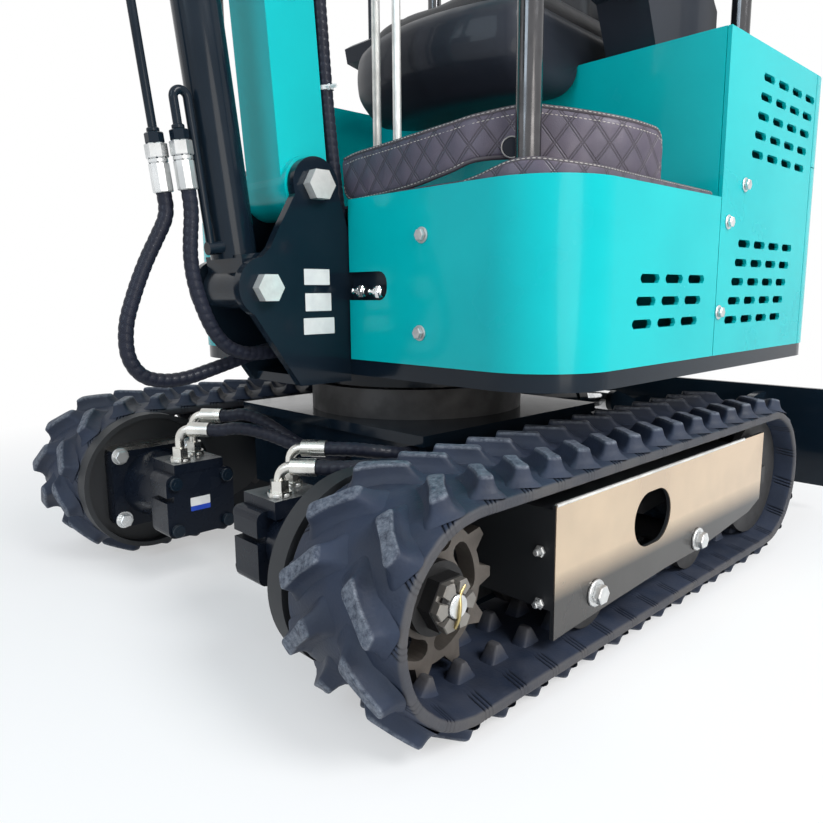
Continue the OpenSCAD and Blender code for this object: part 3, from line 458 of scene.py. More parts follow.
def worn_rubber():
    """Moulded rubber: blue-grey black, chalky on scuffed tops, tan with dust along the belt's edges,
    and near black in its grooves as painted shade."""
    finish, tree, shader, patches, grain = patchy_finish("track_rubber", 14.0, 260.0)
    film = place_group(tree, DUST, Amount=0.09, Scale=34.0)
    place = add(tree, "TexCoord").outputs["Object"]
    scuff = add(tree, "TexNoise", Vector=place, Scale=150.0, Detail=7.0, Roughness=0.75)
    torn = add(tree, "MapRange", Value=scuff.outputs["Fac"], i1=0.36, i2=0.78)
    worn = reckon(tree, "MULTIPLY", marked(tree, "wear").outputs["Fac"], torn.outputs[0])
    edge = reckon(tree, "MULTIPLY", marked(tree, "edge_dust").outputs["Fac"], ranged(tree, patches, 0.5, 1.0))
    tone = mix(tree, patches, (0.015, 0.022, 0.041), (0.023, 0.033, 0.060))
    tone = mix(tree, film.outputs[0], tone, (0.16, 0.15, 0.14))
    tone = mix(tree, edge, tone, (0.088, 0.082, 0.077))
    # painted shade: the rubber is darkened to near black along the grooves
    tone = mix(tree, marked(tree, "groove").outputs["Fac"], tone, (0.006, 0.007, 0.010))
    tone = mix(tree, worn, tone, (0.24, 0.265, 0.31))
    feed_shader(tree, shader, tone, ranged(tree, patches, 0.5, 0.66), reckon(tree, "ADD", worn, grain),
                0.35, 0.0012, Specular_IOR_Level=0.3)
    return finish


def part_mask(tree, axis, start, blend):
    """Nought nearer to the piece's origin than a place on an axis, and one beyond it on either side."""
    place = add(tree, "SeparateXYZ", Vector=add(tree, "TexCoord").outputs["Object"])
    value = reckon(tree, "ABSOLUTE", place.outputs[axis])
    return add(tree, "MapRange", Value=value, i1=start - blend, i2=start + blend).outputs[0]


def cover_sheet():
    """Black frame paint, and on the outer cover mirror-like bare metal: tan as a painted reflection of sunlit
    ground, and dark grey towards the bottom as a painted reflection of shaded ground.
    """
    finish, tree, shader, patches, _ = patchy_finish("frame_and_cover", 7.0, 240.0)
    cover = part_mask(tree, "Y", 0.4768, 0.0004)
    # painted reflection of shaded ground: below this height the cover's colour drops to dark grey
    above_painted_shade = part_mask(tree, "Z", 0.122, 0.018)
    # painted reflection of sunlit ground: the cover's tan colour
    bright = mix(tree, patches, (0.80, 0.63, 0.46), (0.70, 0.555, 0.415))
    sheet = mix(tree, above_painted_shade, (0.125, 0.122, 0.120), bright)
    tone = mix(tree, cover, (0.012, 0.014, 0.017), sheet)
    matt = ranged(tree, patches, 0.52, 0.62)
    gloss = reckon(tree, "SUBTRACT", matt, reckon(tree, "MULTIPLY", cover, 0.34))
    feed_shader(tree, shader, tone, gloss, patches, 0.08, 0.003, Metallic=cover)
    return finish


def sprocket_and_hub():
    """Cast iron, dusty brown on the toothed disc and nearly black on the hub that stands out from it."""
    finish, tree, shader, patches, grain = patchy_finish("sprocket_and_hub", 22.0, 260.0)
    hub = part_mask(tree, "Y", 0.4193, 0.0003)
    dusty = mix(tree, patches, (0.135, 0.118, 0.104), (0.085, 0.075, 0.067))
    tone = mix(tree, hub, dusty, (0.016, 0.016, 0.017))
    feed_shader(tree, shader, tone, ranged(tree, patches, 0.45, 0.62), grain, 0.35, 0.0008, Metallic=0.25)
    return finish


def motor_and_elbows():
    """Black motor paint below the ports and zinc plate on the elbows above them."""
    finish, tree, shader, patches, grain = patchy_finish("motor_and_elbows", 30.0, 420.0)
    plated = part_mask(tree, "Z", 0.2062, 0.0003)
    zinc_tone = mix(tree, patches, (0.70, 0.69, 0.65), (0.52, 0.51, 0.48))
    tone = mix(tree, plated, (0.006, 0.009, 0.016), zinc_tone)
    feed_shader(tree, shader, tone, ranged(tree, patches, 0.22, 0.36), grain, 0.08, 0.0008,
                Metallic=plated, Specular_IOR_Level=0.18)
    return finish


def quilt_group():
    """Double sewn lines in diamonds: two slanted families, each line split by the distance to its middle."""
    group, given, made = new_group("quilted_diamonds", {"Width": QUILT_W, "Height": QUILT_H}, ["Seam"])
    cloth = add(group, "SeparateXYZ", Vector=marked(group, "cloth").outputs["Vector"])
    along = reckon(group, "DIVIDE", cloth.outputs["X"], given.outputs[0])
    up = reckon(group, "DIVIDE", cloth.outputs["Y"], given.outputs[1])
    seams = []
    for operation in ("ADD", "SUBTRACT"):
        cell = reckon(group, "FRACT", reckon(group, operation, along, up))
        middle = reckon(group, "ABSOLUTE", reckon(group, "SUBTRACT", cell, 0.5))
        pair = reckon(group, "ABSOLUTE", reckon(group, "SUBTRACT", middle, 0.055))
        seams.append(add(group, "MapRange", Value=pair, i1=0.012, i2=0.04, i3=1.0, i4=0.0).outputs[0])
    put(group, made, i0=reckon(group, "MAXIMUM", *seams))
    return group


def grained_hide(name, colour, shade, quilt=None):
    """Leather or vinyl: fine cell grain, broad patches of shade, and sewn diamonds from a quilt group,
    darkened in their creases as painted shade.
    """
    finish, tree, shader, patches, _ = patchy_finish(name, 18.0, 500.0)
    cells = add(tree, "TexVoronoi", Vector=add(tree, "TexCoord").outputs["Object"], Scale=620.0)
    tone = mix(tree, patches, colour, shade)
    height = reckon(tree, "MULTIPLY", cells.outputs["Distance"], 0.25)
    if quilt:
        seam = place_group(tree, quilt).outputs[0]
        # painted shade: the sewn creases are darkened towards near black
        tone = mix(tree, reckon(tree, "MULTIPLY", seam, 0.6), tone, (0.018, 0.014, 0.018))
        height = reckon(tree, "SUBTRACT", height, seam)
    feed_shader(tree, shader, tone, ranged(tree, patches, 0.42, 0.56), height, 0.55, 0.0012)
    return finish


teal = coat_of_paint("teal_gloss", (0.0, 0.47, 0.49), (0.0, 0.43, 0.455), 0.2, dust=0.04)
black = coat_of_paint("black_gloss", (0.005, 0.011, 0.019), (0.009, 0.016, 0.025), 0.14, dust=0.06)
rubber = worn_rubber()
frame_paint = cover_sheet()
motor_paint = motor_and_elbows()
zinc = plain_metal("zinc_plate", (0.74, 0.75, 0.75), 0.26, metallic=0.75)
chrome = plain_metal("hard_chrome", (0.78, 0.79, 0.80), 0.08, dent=0.01)
cast = plain_metal("cast_iron", (0.045, 0.045, 0.047), 0.5, grain=300.0, dent=0.3, metallic=0.3)
sprocket_cast = sprocket_and_hub()
nut_steel = plain_metal("nut_steel", (0.27, 0.255, 0.235), 0.42, grain=300.0, dent=0.2, metallic=0.6)
bright_zinc = plain_metal("bright_zinc", (0.88, 0.88, 0.85), 0.32, metallic=0.55)
brass = plain_metal("yellow_zinc", (0.62, 0.50, 0.24), 0.3)
hose_black = coat_of_paint("hose_cover", (0.010, 0.012, 0.021), (0.017, 0.020, 0.034), 0.46, dust=0.06)
dark_chrome = plain_metal("post_steel", (0.11, 0.11, 0.115), 0.12, dent=0.02)
moulded = coat_of_paint("moulded_plastic", (0.016, 0.019, 0.027), (0.022, 0.026, 0.036), 0.4)
pale_plastic = coat_of_paint("pale_plastic", (0.75, 0.75, 0.74), (0.66, 0.66, 0.66), 0.35, patch_scale=40.0)
label_blue = coat_of_paint("label_blue", (0.02, 0.06, 0.42), (0.03, 0.08, 0.48), 0.35, patch_scale=40.0)
leather = grained_hide("quilted_leather", (0.086, 0.071, 0.102), (0.066, 0.056, 0.083), quilt_group())
hem_leather = grained_hide("hem_leather", (0.070, 0.058, 0.070), (0.055, 0.046, 0.056))
seat_vinyl = grained_hide("seat_vinyl", (0.022, 0.022, 0.025), (0.030, 0.030, 0.034))
thread = coat_of_paint("pale_thread", (0.52, 0.48, 0.45), (0.42, 0.39, 0.37), 0.6, patch_scale=60.0)


def dress(finish, *names):
    """Gives a CAD node's object a finish of its own."""
    for name in names:
        nodes[name].data.materials.clear()
        nodes[name].data.materials.append(finish)


set_camera()
set_world()
set_floor()
area_lamp("key", (-0.2, 3.4, 3.2), (0.0, 0.2, 0.5), 2.0, 134)
area_lamp("front", (3.4, 0.4, 2.4), (0.2, 0.0, 0.6), 2.2, 46, (0.72, 0.88, 1.0))
area_lamp("low", (0.9, 3.0, 0.7), (0.0, 0.4, 0.3), 1.6, 22, (1.0, 0.94, 0.86))
bpy.context.scene.view_settings.view_transform = "Standard"

dress(teal, "front_panel_left", "front_panel_right", "rear_panel_left", "rear_panel_right", "counterweight",
      "hood", "engine_wall", "tank_box", "canopy_roof", "boom", "arm")
dress(black, "car_body", "platform", "pivot_bracket", "boom_cylinder_barrel", "arm_cylinder_barrel",
      "bucket_cylinder_barrel", "blade_cylinder_barrel", "tipping_lever", "bucket_link", "bucket", "blade",
      "floor_plate")
dress(motor_paint, "travel_motors")
dress(moulded, "consoles")
dress(frame_paint, "track_frame_left", "track_frame_right")
dress(cast, "idlers", "rollers", "slew_ring", "engine")
dress(sprocket_cast, "sprockets")
dress(bright_zinc, "pivot_pins", "travel_levers")
dress(dark_chrome, "canopy_posts")
dress(chrome, "boom_cylinder_rod", "arm_cylinder_rod", "bucket_cylinder_rod", "blade_cylinder_rod")


# Hoses

# Diameters in metres, and routes from fitting to fitting in millimetres
TRAVEL_HOSE_D, BOOM_HOSE_D, FEED_HOSE_D = 0.020, 0.0205, 0.021
TRAVEL_ROUTES = {
    "left_a": [
        (374.525, 199.769, 246), (362.489, 215.741, 246), (345, 236, 247), (320, 257, 248), (285, 271, 247),
        (248, 273, 244), (215, 272, 240), (190, 266, 237.5), (174, 255, 236.5), (166, 243, 236),
        (166, 230.3, 236),
    ],
    "left_b": [
        (334.525, 167.769, 260), (323.692, 182.144, 260), (310, 201, 260), (292, 219, 257), (270, 230, 253),
        (250, 226, 248), (233, 215, 243), (219.3, 206, 241), (205.3, 206, 241),
    ],
    "right_a": [
        (374.525, -84.231, 258), (363.692, -69.856, 258), (346, -52, 261), (326, -34, 257), (305, -14, 248),
        (285, 10, 236), (264, 32, 225), (240, 47, 217), (219.3, 52, 215), (205.3, 52, 215),
    ],
    "right_b": [
        (334.525, -116.231, 272), (324.896, -103.453, 272), (312, -88, 275), (299, -71, 270), (287, -52, 260),
        (274, -32, 246), (260, -14, 232), (242, 2, 220), (219.3, 10, 215), (205.3, 10, 215),
    ],
}
BOOM_ROUTES = {
    "a": [
        (460.122, -14, 607.723), (457.746, -14, 587.865), (461, -14, 570), (473, -15, 546), (491, -16, 512),
        (509, -17, 470), (522, -18, 428), (522, -18, 388), (505, -18, 361), (475, -18, 351), (440, -18, 352),
        (405, -18, 360), (370, -18, 369), (335, -18, 378), (300, -18, 385), (260, -18, 388),
        (223.3, -18, 388),
    ],
    "b": [
        (438.278, 14, 610.337), (435.902, 14, 590.479), (436, 14, 572), (439, 15, 548), (441, 16, 520),
        (438, 17, 486), (428, 18, 450), (413, 18, 418), (393, 18, 396), (366, 18, 385), (335, 18, 383),
        (300, 18, 385), (260, 18, 388), (223.3, 18, 388),
    ],
}
FEED_ROUTE = [
    (182, 40, 371), (182, 40, 400), (185, 40, 440), (190, 40, 490), (196, 40, 540), (203, 40, 590),
    (209, 40, 640), (215, 40, 690), (220, 40, 740), (224, 40, 790), (230, 40, 880), (237, 40, 980),
    (243, 40, 1070), (247, 40, 1120), (249, 40, 1150),
]


def wrapped_hose(path, diameter, lead=0.0115, sides=18):
    """A hose in a spiral wrap: a flat strip winds round it, and a narrow groove follows the strip's edge."""
    angle = 2 * pi * np.arange(sides) / sides
    turn = np.mod(lengths_along(path)[:, None] / lead + angle[None, :] / (2 * pi), 1.0)
    groove_w, groove_depth, bulge_by, bulge_at = 0.12, 0.05, 0.012, 0.05
    groove = groove_depth * np.exp(-((turn - 0.5) / groove_w) ** 2)
    bulge = bulge_by * np.cos(2 * pi * (turn - bulge_at))
    return tube(path, diameter / 2 * (1 - bulge_by + bulge - groove), sides, reference=(0.08, 1.0, 0.06))


def make_hose(name, route, diameter, body="undercarriage"):
    """A wrapped hose on a route given in millimetres."""
    path = even_steps(smooth_path(np.asarray(route) / 1000, 12), 0.0016)
    made = piece(name, wrapped_hose(path, diameter), hose_black, body, sharp=60)
    return made


for title, way in TRAVEL_ROUTES.items():
    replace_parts(make_hose("travel_hose_" + title + "_wrap", way, TRAVEL_HOSE_D), "travel_hose_" + title)
for title, way in BOOM_ROUTES.items():
    loop = make_hose("boom_hose_" + title + "_wrap", way, BOOM_HOSE_D)
    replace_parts(loop, "boom_hose_" + title)
    loop.parent = None
    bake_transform(loop)
feed = make_hose("arm_feed_hose", FEED_ROUTE, FEED_HOSE_D, "house")
feed.parent = None
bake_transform(feed)


def make_hose_fittings():
    """Bright ferrules and nuts where the boom hoses meet the pipes, and the end fitting of the feed hose."""
    rise = np.array([0.1188, 0.0, 0.99292])
    ferrule = [(10, 0.0137, 0.038), (20, 0.0132, 0.006), (6, 0.0150, 0.019)]
    pipe_nut = [(6, 0.0125, 0.014), (16, 0.0085, 0.006)]
    ends = [np.asarray(way[0]) / 1000 for way in BOOM_ROUTES.values()]
    bright = [stack(end - 0.002 * rise, rise, ferrule) for end in ends]
    dull = [stack(end + 0.061 * rise, rise, pipe_nut) for end in ends]
    piece("boom_hose_ferrules", joined(bright), zinc, "boom_cylinder", sharp=25)
    piece("boom_pipe_nuts", joined(dull), black, "boom_cylinder", sharp=25)
    top = np.asarray(FEED_ROUTE[-1]) / 1000
    collar = [(10, 0.0122, 0.034), (6, 0.0132, 0.014), (16, 0.008, 0.02)]
    fitting = [
        stack(top - np.array([0, 0, 0.012]), (0.07, 0, 1), collar),
        stack(top + np.array([-0.004, 0, 0.050]), (1, 0, 0), [(16, 0.010, 0.022)]),
    ]
    piece("feed_hose_fitting", joined(fitting), zinc, "boom", sharp=25)
    tie_at, tie_in, tie_out, half = np.array([0.2222, 0.04, 0.770]), 0.0104, 0.0117, 0.003
    band = [(tie_in, -half), (tie_out, -half), (tie_out, half), (tie_in, half), (tie_in, -half)]
    head = stack(tie_at + np.array([0.004, 0.008, 0]), (-0.3, 1, 0), [(4, 0.0045, 0.006), (4, 0.0028, 0.012)])
    tie = joined([lathe(band, tie_at, (0.08, 0, 1)), head])
    piece("cable_tie", tie, pale_plastic, "boom", sharp=30)


make_hose_fittings()


# Tracks

AXLE_X, AXLE_Z, TRACK_Y = 0.386, 0.142, 0.406
# The belt's width, the cord line's radius, and the rubber's depth outside and inside it
BELT_W, CORD_R, CORD_DEPTH, INNER_DEPTH = 0.180, 0.108, 0.014, 0.006
LINKS = 37
RUN, ARC = 2 * AXLE_X, pi * CORD_R
LOOP = 2 * (RUN + ARC)
PITCH = LOOP / LINKS
# A tread bar's outer and inner end as steps along and across the belt, and how far the far half's bars trail
LUG_OUTER, LUG_INNER, STAGGER = np.array([0.029, 0.072]), np.array([-0.0015, 0.030]), 0.78


def on_belt(s, y, rise):
    """A point on the track: s runs along the cord line from the rear of the top run, rise is square to it."""
    s = np.mod(s, LOOP)
    reach = CORD_R + rise
    front = (s - RUN) / CORD_R
    rear = (s - 2 * RUN - ARC) / CORD_R
    parts = [s < RUN, s < RUN + ARC, s < 2 * RUN + ARC]
    x = np.select(parts, [s - AXLE_X, AXLE_X + reach * np.sin(front), AXLE_X - (s - RUN - ARC)],
                  -AXLE_X - reach * np.sin(rear))
    z = np.select(parts, [reach + 0 * s, reach * np.cos(front), -reach + 0 * s], -reach * np.cos(rear))
    return np.stack(np.broadcast_arrays(x, TRACK_Y + y, AXLE_Z + z), axis=-1)


def belt_band():
    """The belt: a band with thin round edges, and three slanted grooves beyond each bar's end."""
    groove_gap, groove_w, groove_depth = 0.0058, 0.0010, 0.0020
    edge_r, edge_start, slant_start, half = 0.004, 0.062, 0.050, BELT_W / 2
    slant_out, slant_in = 0.6, -0.18
    thin_by, thin_start, thin_w = 0.0036, 0.055, 0.033
    rim_start, fade, rim_loss = 0.086, 0.003, 0.65
    dust, dust_start, dust_w = 0.75, 0.0865, 0.002
    groove_at = LUG_OUTER[0] + slant_out * (half - LUG_OUTER[1])
    steps = np.concatenate([k * groove_gap + np.array([-2, -1, 0, 1, 2]) * groove_w for k in (-1, 0, 1)])
    one_side = groove_at + np.concatenate([steps, np.array([0.2, 0.25, 0.3]) * PITCH])
    samples = np.unique(np.round(np.concatenate([one_side, one_side + STAGGER * PITCH]) % PITCH, 6))
    s = (np.arange(LINKS)[:, None] * PITCH + samples).reshape(-1)
    rim = np.array([0.056, edge_start, 0.066, 0.073, 0.080, rim_start])
    flat = np.concatenate([-rim[::-1], np.linspace(-0.04, 0.04, 4), rim])
    turn = np.linspace(pi / 2, 0, 5)[1:]
    out = half - edge_r + edge_r * np.cos(turn)
    y = np.concatenate([flat, out, out[::-1], flat[::-1], -out, -out[::-1]])
    top, low = CORD_DEPTH + 0 * flat, -INNER_DEPTH + 0 * flat
    round_top = CORD_DEPTH - edge_r + edge_r * np.sin(turn)
    round_low = -INNER_DEPTH + edge_r - edge_r * np.sin(turn)
    rise = np.concatenate([top, round_top, round_low[::-1], low, round_low, round_top[::-1]])
    outside = np.where(rise > (CORD_DEPTH - INNER_DEPTH) / 2, 1.0, -1.0)
    reach = np.abs(y)
    rise = rise - thin_by * outside * np.clip((reach - thin_start) / thin_w, 0, 1)
    offset = s[:, None] - groove_at - np.where(y > 0, 0.0, STAGGER * PITCH)[None, :]
    offset = (offset + PITCH / 2) % PITCH - PITCH / 2
    cut = sum(np.exp(-((offset - k * groove_gap) / groove_w) ** 2) for k in (-1, 0, 1))
    at_rim = np.clip((reach - rim_start) / fade, 0, 1)
    cut = cut * (np.clip((reach - edge_start + fade) / fade, 0, 1) * (1 - rim_loss * at_rim))[None, :]
    slant = np.where(outside > 0, slant_out, slant_in) * (np.clip(reach, slant_start, half) - half)
    sheared = s[:, None] + slant[None, :]
    points = on_belt(sheared, y[None, :] + 0 * sheared, rise[None, :] - groove_depth * outside[None, :] * cut)
    dusty = np.broadcast_to(dust * np.clip((reach - dust_start) / dust_w, 0, 1), cut.shape)
    return lattice(points, wrap_u=True), dusty.reshape(-1), np.clip(cut, 0, 1).reshape(-1)


def rounded_rings(half_long, half_wide, count, bone):
    """A rounded bar in plan at each of several sizes: a superellipse, a little wider towards its two ends."""
    angle = 2 * pi * np.arange(count) / count
    power = 0.42
    long = np.sign(np.cos(angle)) * np.abs(np.cos(angle)) ** power
    wide = np.sign(np.sin(angle)) * np.abs(np.sin(angle)) ** power
    wide = wide * (1 + bone * (long ** 2 - 0.4))
    return half_long[:, None] * long, half_wide[:, None] * wide


def lug_bars():
    """All tread bars of a belt: rings of a slanted bar that narrow with height, closed by a scuffed top."""
    height = np.array([-0.002, 0.0015, 0.004, 0.009, 0.0155, 0.0185, 0.0198, 0.02, 0.0195, 0.0193])
    wide = np.array([0.0205, 0.0168, 0.0132, 0.0104, 0.0086, 0.0079, 0.0071, 0.0056, 0.003, 0.0])
    outer = np.array([0.0385, 0.0350, 0.0325, 0.0302, 0.0284, 0.0276, 0.0265, 0.0238, 0.013, 0.0])
    inner = np.array([0.0560, 0.0505, 0.0450, 0.0380, 0.0318, 0.0292, 0.0271, 0.0240, 0.013, 0.0])
    out_x, out_y = rounded_rings((outer + inner) / 2, wide, 28, 0.45)
    out_x = out_x + (inner - outer)[:, None] / 2
    middle = (LUG_OUTER + LUG_INNER) / 2
    heading = (LUG_INNER - LUG_OUTER) / np.linalg.norm(LUG_INNER - LUG_OUTER)
    along = middle[0] + out_x * heading[0] - out_y * heading[1]
    across = middle[1] + out_x * heading[1] + out_y * heading[0]
    worn = np.broadcast_to(np.clip((height - 0.0165) / 0.002, 0, 1)[:, None], out_x.shape).reshape(-1)
    rise = CORD_DEPTH + height[:, None] + 0 * along
    shapes = [
        lattice(on_belt((link_no + shift) * PITCH + along, side * across, rise))
        for link_no in range(LINKS) for side, shift in ((LEFT, 0.0), (RIGHT, STAGGER))
    ]
    return joined(shapes), np.tile(worn, len(shapes))


def guide_horns():
    """Two rows of guide horns inside the belt: rounded wedges that narrow towards their tips."""
    row_y = 0.029
    height = np.array([0.001, -0.003, -0.010, -0.017, -0.0195, -0.020, -0.020])
    long = np.array([0.0175, 0.0145, 0.0105, 0.0062, 0.0048, 0.003, 0.0])
    wide = np.array([0.0125, 0.0112, 0.0098, 0.0082, 0.0072, 0.005, 0.0])
    out_x, out_y = rounded_rings(long, wide, 16, 0.0)
    rise = -INNER_DEPTH + height[:, None] + 0 * out_x
    shapes = [
        lattice(on_belt(link_no * PITCH + out_x, side * row_y + out_y, rise))
        for link_no in range(LINKS) for side in (LEFT, RIGHT)
    ]
    worn = np.broadcast_to(0.7 * np.clip((-height - 0.004) / 0.01, 0, 1)[:, None], out_x.shape).reshape(-1)
    return joined(shapes), np.tile(worn, len(shapes))


def make_tracks():
    """Both tracks: belt, bars and horns joined, with marks for scuffed tops, dusty edges and the painted
    shade in the grooves.
    """
    band, band_dust, groove_shade_mask = belt_band()
    bars, bar_wear = lug_bars()
    horns, horn_dust = guide_horns()
    left = joined([band, bars, horns])
    marks = {
        "wear": np.concatenate([0 * band_dust, bar_wear, 0 * horn_dust]),
        "edge_dust": np.concatenate([band_dust, 0 * bar_wear, horn_dust]),
        # the groove mark carries the painted shade into the grooves
        "groove": np.concatenate([groove_shade_mask, 0 * bar_wear, 0 * horn_dust]),
    }
    for name, shape in (("track_left", left), ("track_right", mirrored(left))):
        made = piece(name + "_rubber", shape, rubber, "undercarriage", sharp=50, marks=marks)
        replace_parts(made, name)


make_tracks()


# Floor mat and seat

# Strips of the mat: each row is a point in plan, and the heights of the strip's lower and upper edge there
FRONT_STRIP = np.array([
    (203, 58, 607, 668), (202, 86, 608, 673), (199, 140, 611, 677), (195, 200, 617, 682),
    (188, 260, 629, 688), (177, 300, 640, 694), (140, 346, 640, 703), (110, 376, 624, 700),
    (80, 402, 613, 695), (48, 424, 611, 690), (14, 437, 611, 686), (-35, 441, 611, 683),
]) / 1000
LIP_TURN = np.radians(np.linspace(0, 90, 7))
LOW_LIP = np.vstack([
    [(203, 300, 605, 609), (203, 325, 605, 613)],
    np.column_stack([103 + 100 * np.cos(LIP_TURN), 350 + 100 * np.sin(LIP_TURN), 0 * LIP_TURN + 605,
                     [619, 625, 626, 623, 620, 618, 617]]),
    [(50, 450, 605, 616), (-20, 450, 605, 615), (-100, 450, 605, 614), (-178, 450, 605, 613)],
]) / 1000


def quarter_drop(distance, radius):
    """How far a quarter circle lies inside its corner at a distance from the end."""
    inside = radius - np.minimum(distance, radius)
    return radius - np.sqrt(radius ** 2 - inside ** 2)


# Step of the points along a strip
STRIP_STEP = 0.003


def mat_strip(route, thick, front_round, rear_round):
    """An upright padded strip: an oval section on a path between two edges, swelling inside each diamond."""
    front_rows, back_rows, swell_by = 24, 12, 0.0011
    path = even_steps(smooth_path(route, 10), STRIP_STEP)
    walked = lengths_along(np.column_stack([path[:, :2], 0 * path[:, 0]]))
    low = path[:, 2] + quarter_drop(walked, front_round)
    high = path[:, 3] - quarter_drop(walked[-1] - walked, rear_round)
    heading = unit(np.gradient(path[:, :2], axis=0))
    outward = np.column_stack([heading[:, 1], -heading[:, 0], 0 * low])
    share = np.concatenate([np.linspace(0, 1, front_rows), np.linspace(1, 0, back_rows + 2)[1:-1]])
    side = np.concatenate([np.ones(front_rows), -np.ones(back_rows)])
    height = low[:, None] + (high - low)[:, None] * share
    first = walked[:, None] / QUILT_W + height / QUILT_H
    second = walked[:, None] / QUILT_W - height / QUILT_H
    swell = swell_by * np.abs(np.cos(pi * first) * np.cos(pi * second))
    bulk = thick / 2 * np.sqrt(np.clip(1 - (2 * share - 1) ** 8, 0, 1))
    offset = side * (bulk + swell * np.minimum(1, 8 * share * (1 - share)))
    centre = np.column_stack([path[:, :2], 0 * low])
    points = centre[:, None] + offset[:, :, None] * outward[:, None]
    points[:, :, 2] = height
    strip = closed_ends(lattice(points), len(share))
    cloth = np.stack(np.broadcast_arrays(walked[:, None], height, 0 * height), axis=-1).reshape(-1, 3)
    lower = np.column_stack([path[:, :2], low])
    upper = np.column_stack([path[:, :2], high])
    return strip, cloth, lower, upper, outward


def rolled_edge(lower, upper, outward, radius):
    """A rolled hem: a round bar along the lower edge, up the rear end and back along the upper edge."""
    steps = 6
    rise = np.linspace(0, 1, steps + 2)[1:-1, None]
    path = np.vstack([lower, lower[-1] + rise * (upper[-1] - lower[-1]), upper[::-1]])
    facing = np.vstack([outward, np.repeat(outward[-1:], steps, axis=0), outward[::-1]])
    return tube(path, radius, 8, reference=facing)


def stitch_row(line, outward, lift, pitch=0.0062, length=0.0040, radius=0.0006):
    """Separate stitches along a line: short five-sided bars with thin ends, all from one set of arrays."""
    taper, sides = np.array([0.35, 1, 1, 0.35]), 5
    rings = len(taper)
    walked = lengths_along(line)
    starts = np.arange(pitch / 2, walked[-1] - length, pitch)
    spots = starts[:, None] + length * np.array([0, 0.25, 0.75, 1.0])
    lifted = line + lift * outward
    middle = np.stack([np.interp(spots, walked, column) for column in lifted.T], axis=-1)
    face = np.stack([np.interp(spots, walked, column) for column in outward.T], axis=-1)
    side = np.cross(np.broadcast_to(unit(middle[:, 3:] - middle[:, :1]), face.shape), face)
    ring = circle(sides, face[:, :, None], side[:, :, None])
    points = middle[:, :, None] + radius * taper[:, None, None] * ring
    one = np.array(lattice(np.zeros((rings, sides, 3)))[1])
    offset = rings * sides * np.arange(len(starts))
    faces = (one[None] + offset[:, None, None]).reshape(-1, 4).tolist()
    first = offset[:, None] + np.arange(sides)
    last = first + (rings - 1) * sides
    return points.reshape(-1, 3), faces + first.tolist() + last[:, ::-1].tolist()


def mat_outline():
    """The flat mat's cut: straight sides, round front corners and a notch for the boom's foot."""
    turn = np.radians(np.linspace(0, 90, 9))
    corner = np.column_stack([0.103 + 0.097 * np.cos(turn), 0.350 + 0.097 * np.sin(turn)])
    left = np.vstack([[(0.138, 0.084), (0.200, 0.084)], corner, [(-0.188, 0.447)]])
    return np.vstack([left[::-1] * np.array([1, -1]), left])


def make_mat():
    """The quilted mat: a flat sheet, two upright strips and two low lips, with rolled hems and stitches."""
    sheet = plate(mat_outline(), (0, 0, 0.6063), (1, 0, 0), (0, 1, 0), 0.006, 0.001)
    shapes, cloths, hems, threads = [sheet], [sheet[0] * np.array([1, 1, 0])], [], []
    up, end_points = np.array([0, 0, 1.0]), 12
    for route, thick, front_round, rear_round, hem in (
            (FRONT_STRIP, 0.0075, 0.024, 0.017, 0.0034), (LOW_LIP, 0.006, 0.001, 0.004, 0.0032)):
        strip, cloth, lower, upper, outward = mat_strip(route, thick, front_round, rear_round)
        edge = rolled_edge(lower, upper, outward, hem)
        rows = [stitch_row(upper + 0.0006 * up, outward, hem)]
        if route is FRONT_STRIP:
            front = slice(0, int(0.45 * len(lower)))
            inward = 0.004 * np.gradient(lower, axis=0)[-1] / STRIP_STEP
            end = np.linspace(lower[-1], upper[-1], end_points) - inward
            rows.insert(0, stitch_row(upper - 0.009 * up, outward, thick / 2 + 0.0004))
            rows.append(stitch_row(lower[front] + 0.001 * up, outward[front], hem))
            rows.append(stitch_row(end, np.repeat(outward[-1:], end_points, axis=0), hem))
        shapes += [strip, mirrored(strip)]
        cloths += [cloth, cloth]
        hems += [edge, mirrored(edge)]
        threads += rows + [mirrored(row) for row in rows]
    mat = piece("floor_mat_quilt", joined(shapes), leather, "house", sharp=50,
                marks={"cloth": np.vstack(cloths)})
    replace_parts(mat, "floor_mat")
    piece("floor_mat_hem", joined(hems), hem_leather, "house", sharp=60)
    piece("floor_mat_thread", joined(threads), thread, "house", sharp=60)
    spot, facing = np.array([0.1545, 0.3375, 0.652]), np.array([0.74, 0.67, 0.0])
    hole = stack(spot, facing, [(28, 0.0125, 0.0050)])
    piece("mat_cut_outs", both([hole]), moulded, "house", sharp=30)
    inner, outer = 0.0122, 0.0138
    ring = [(inner, 0.0044), (outer, 0.0048), (outer, 0.0058), (inner, 0.0056), (inner, 0.0044)]
    piece("mat_cut_out_rims", both([lathe(ring, spot, facing)]), thread, "house", sharp=50)


# Sewn channels of a pad, as shares of its width from the middle
CHANNELS = (-0.24, 0.0, 0.24)


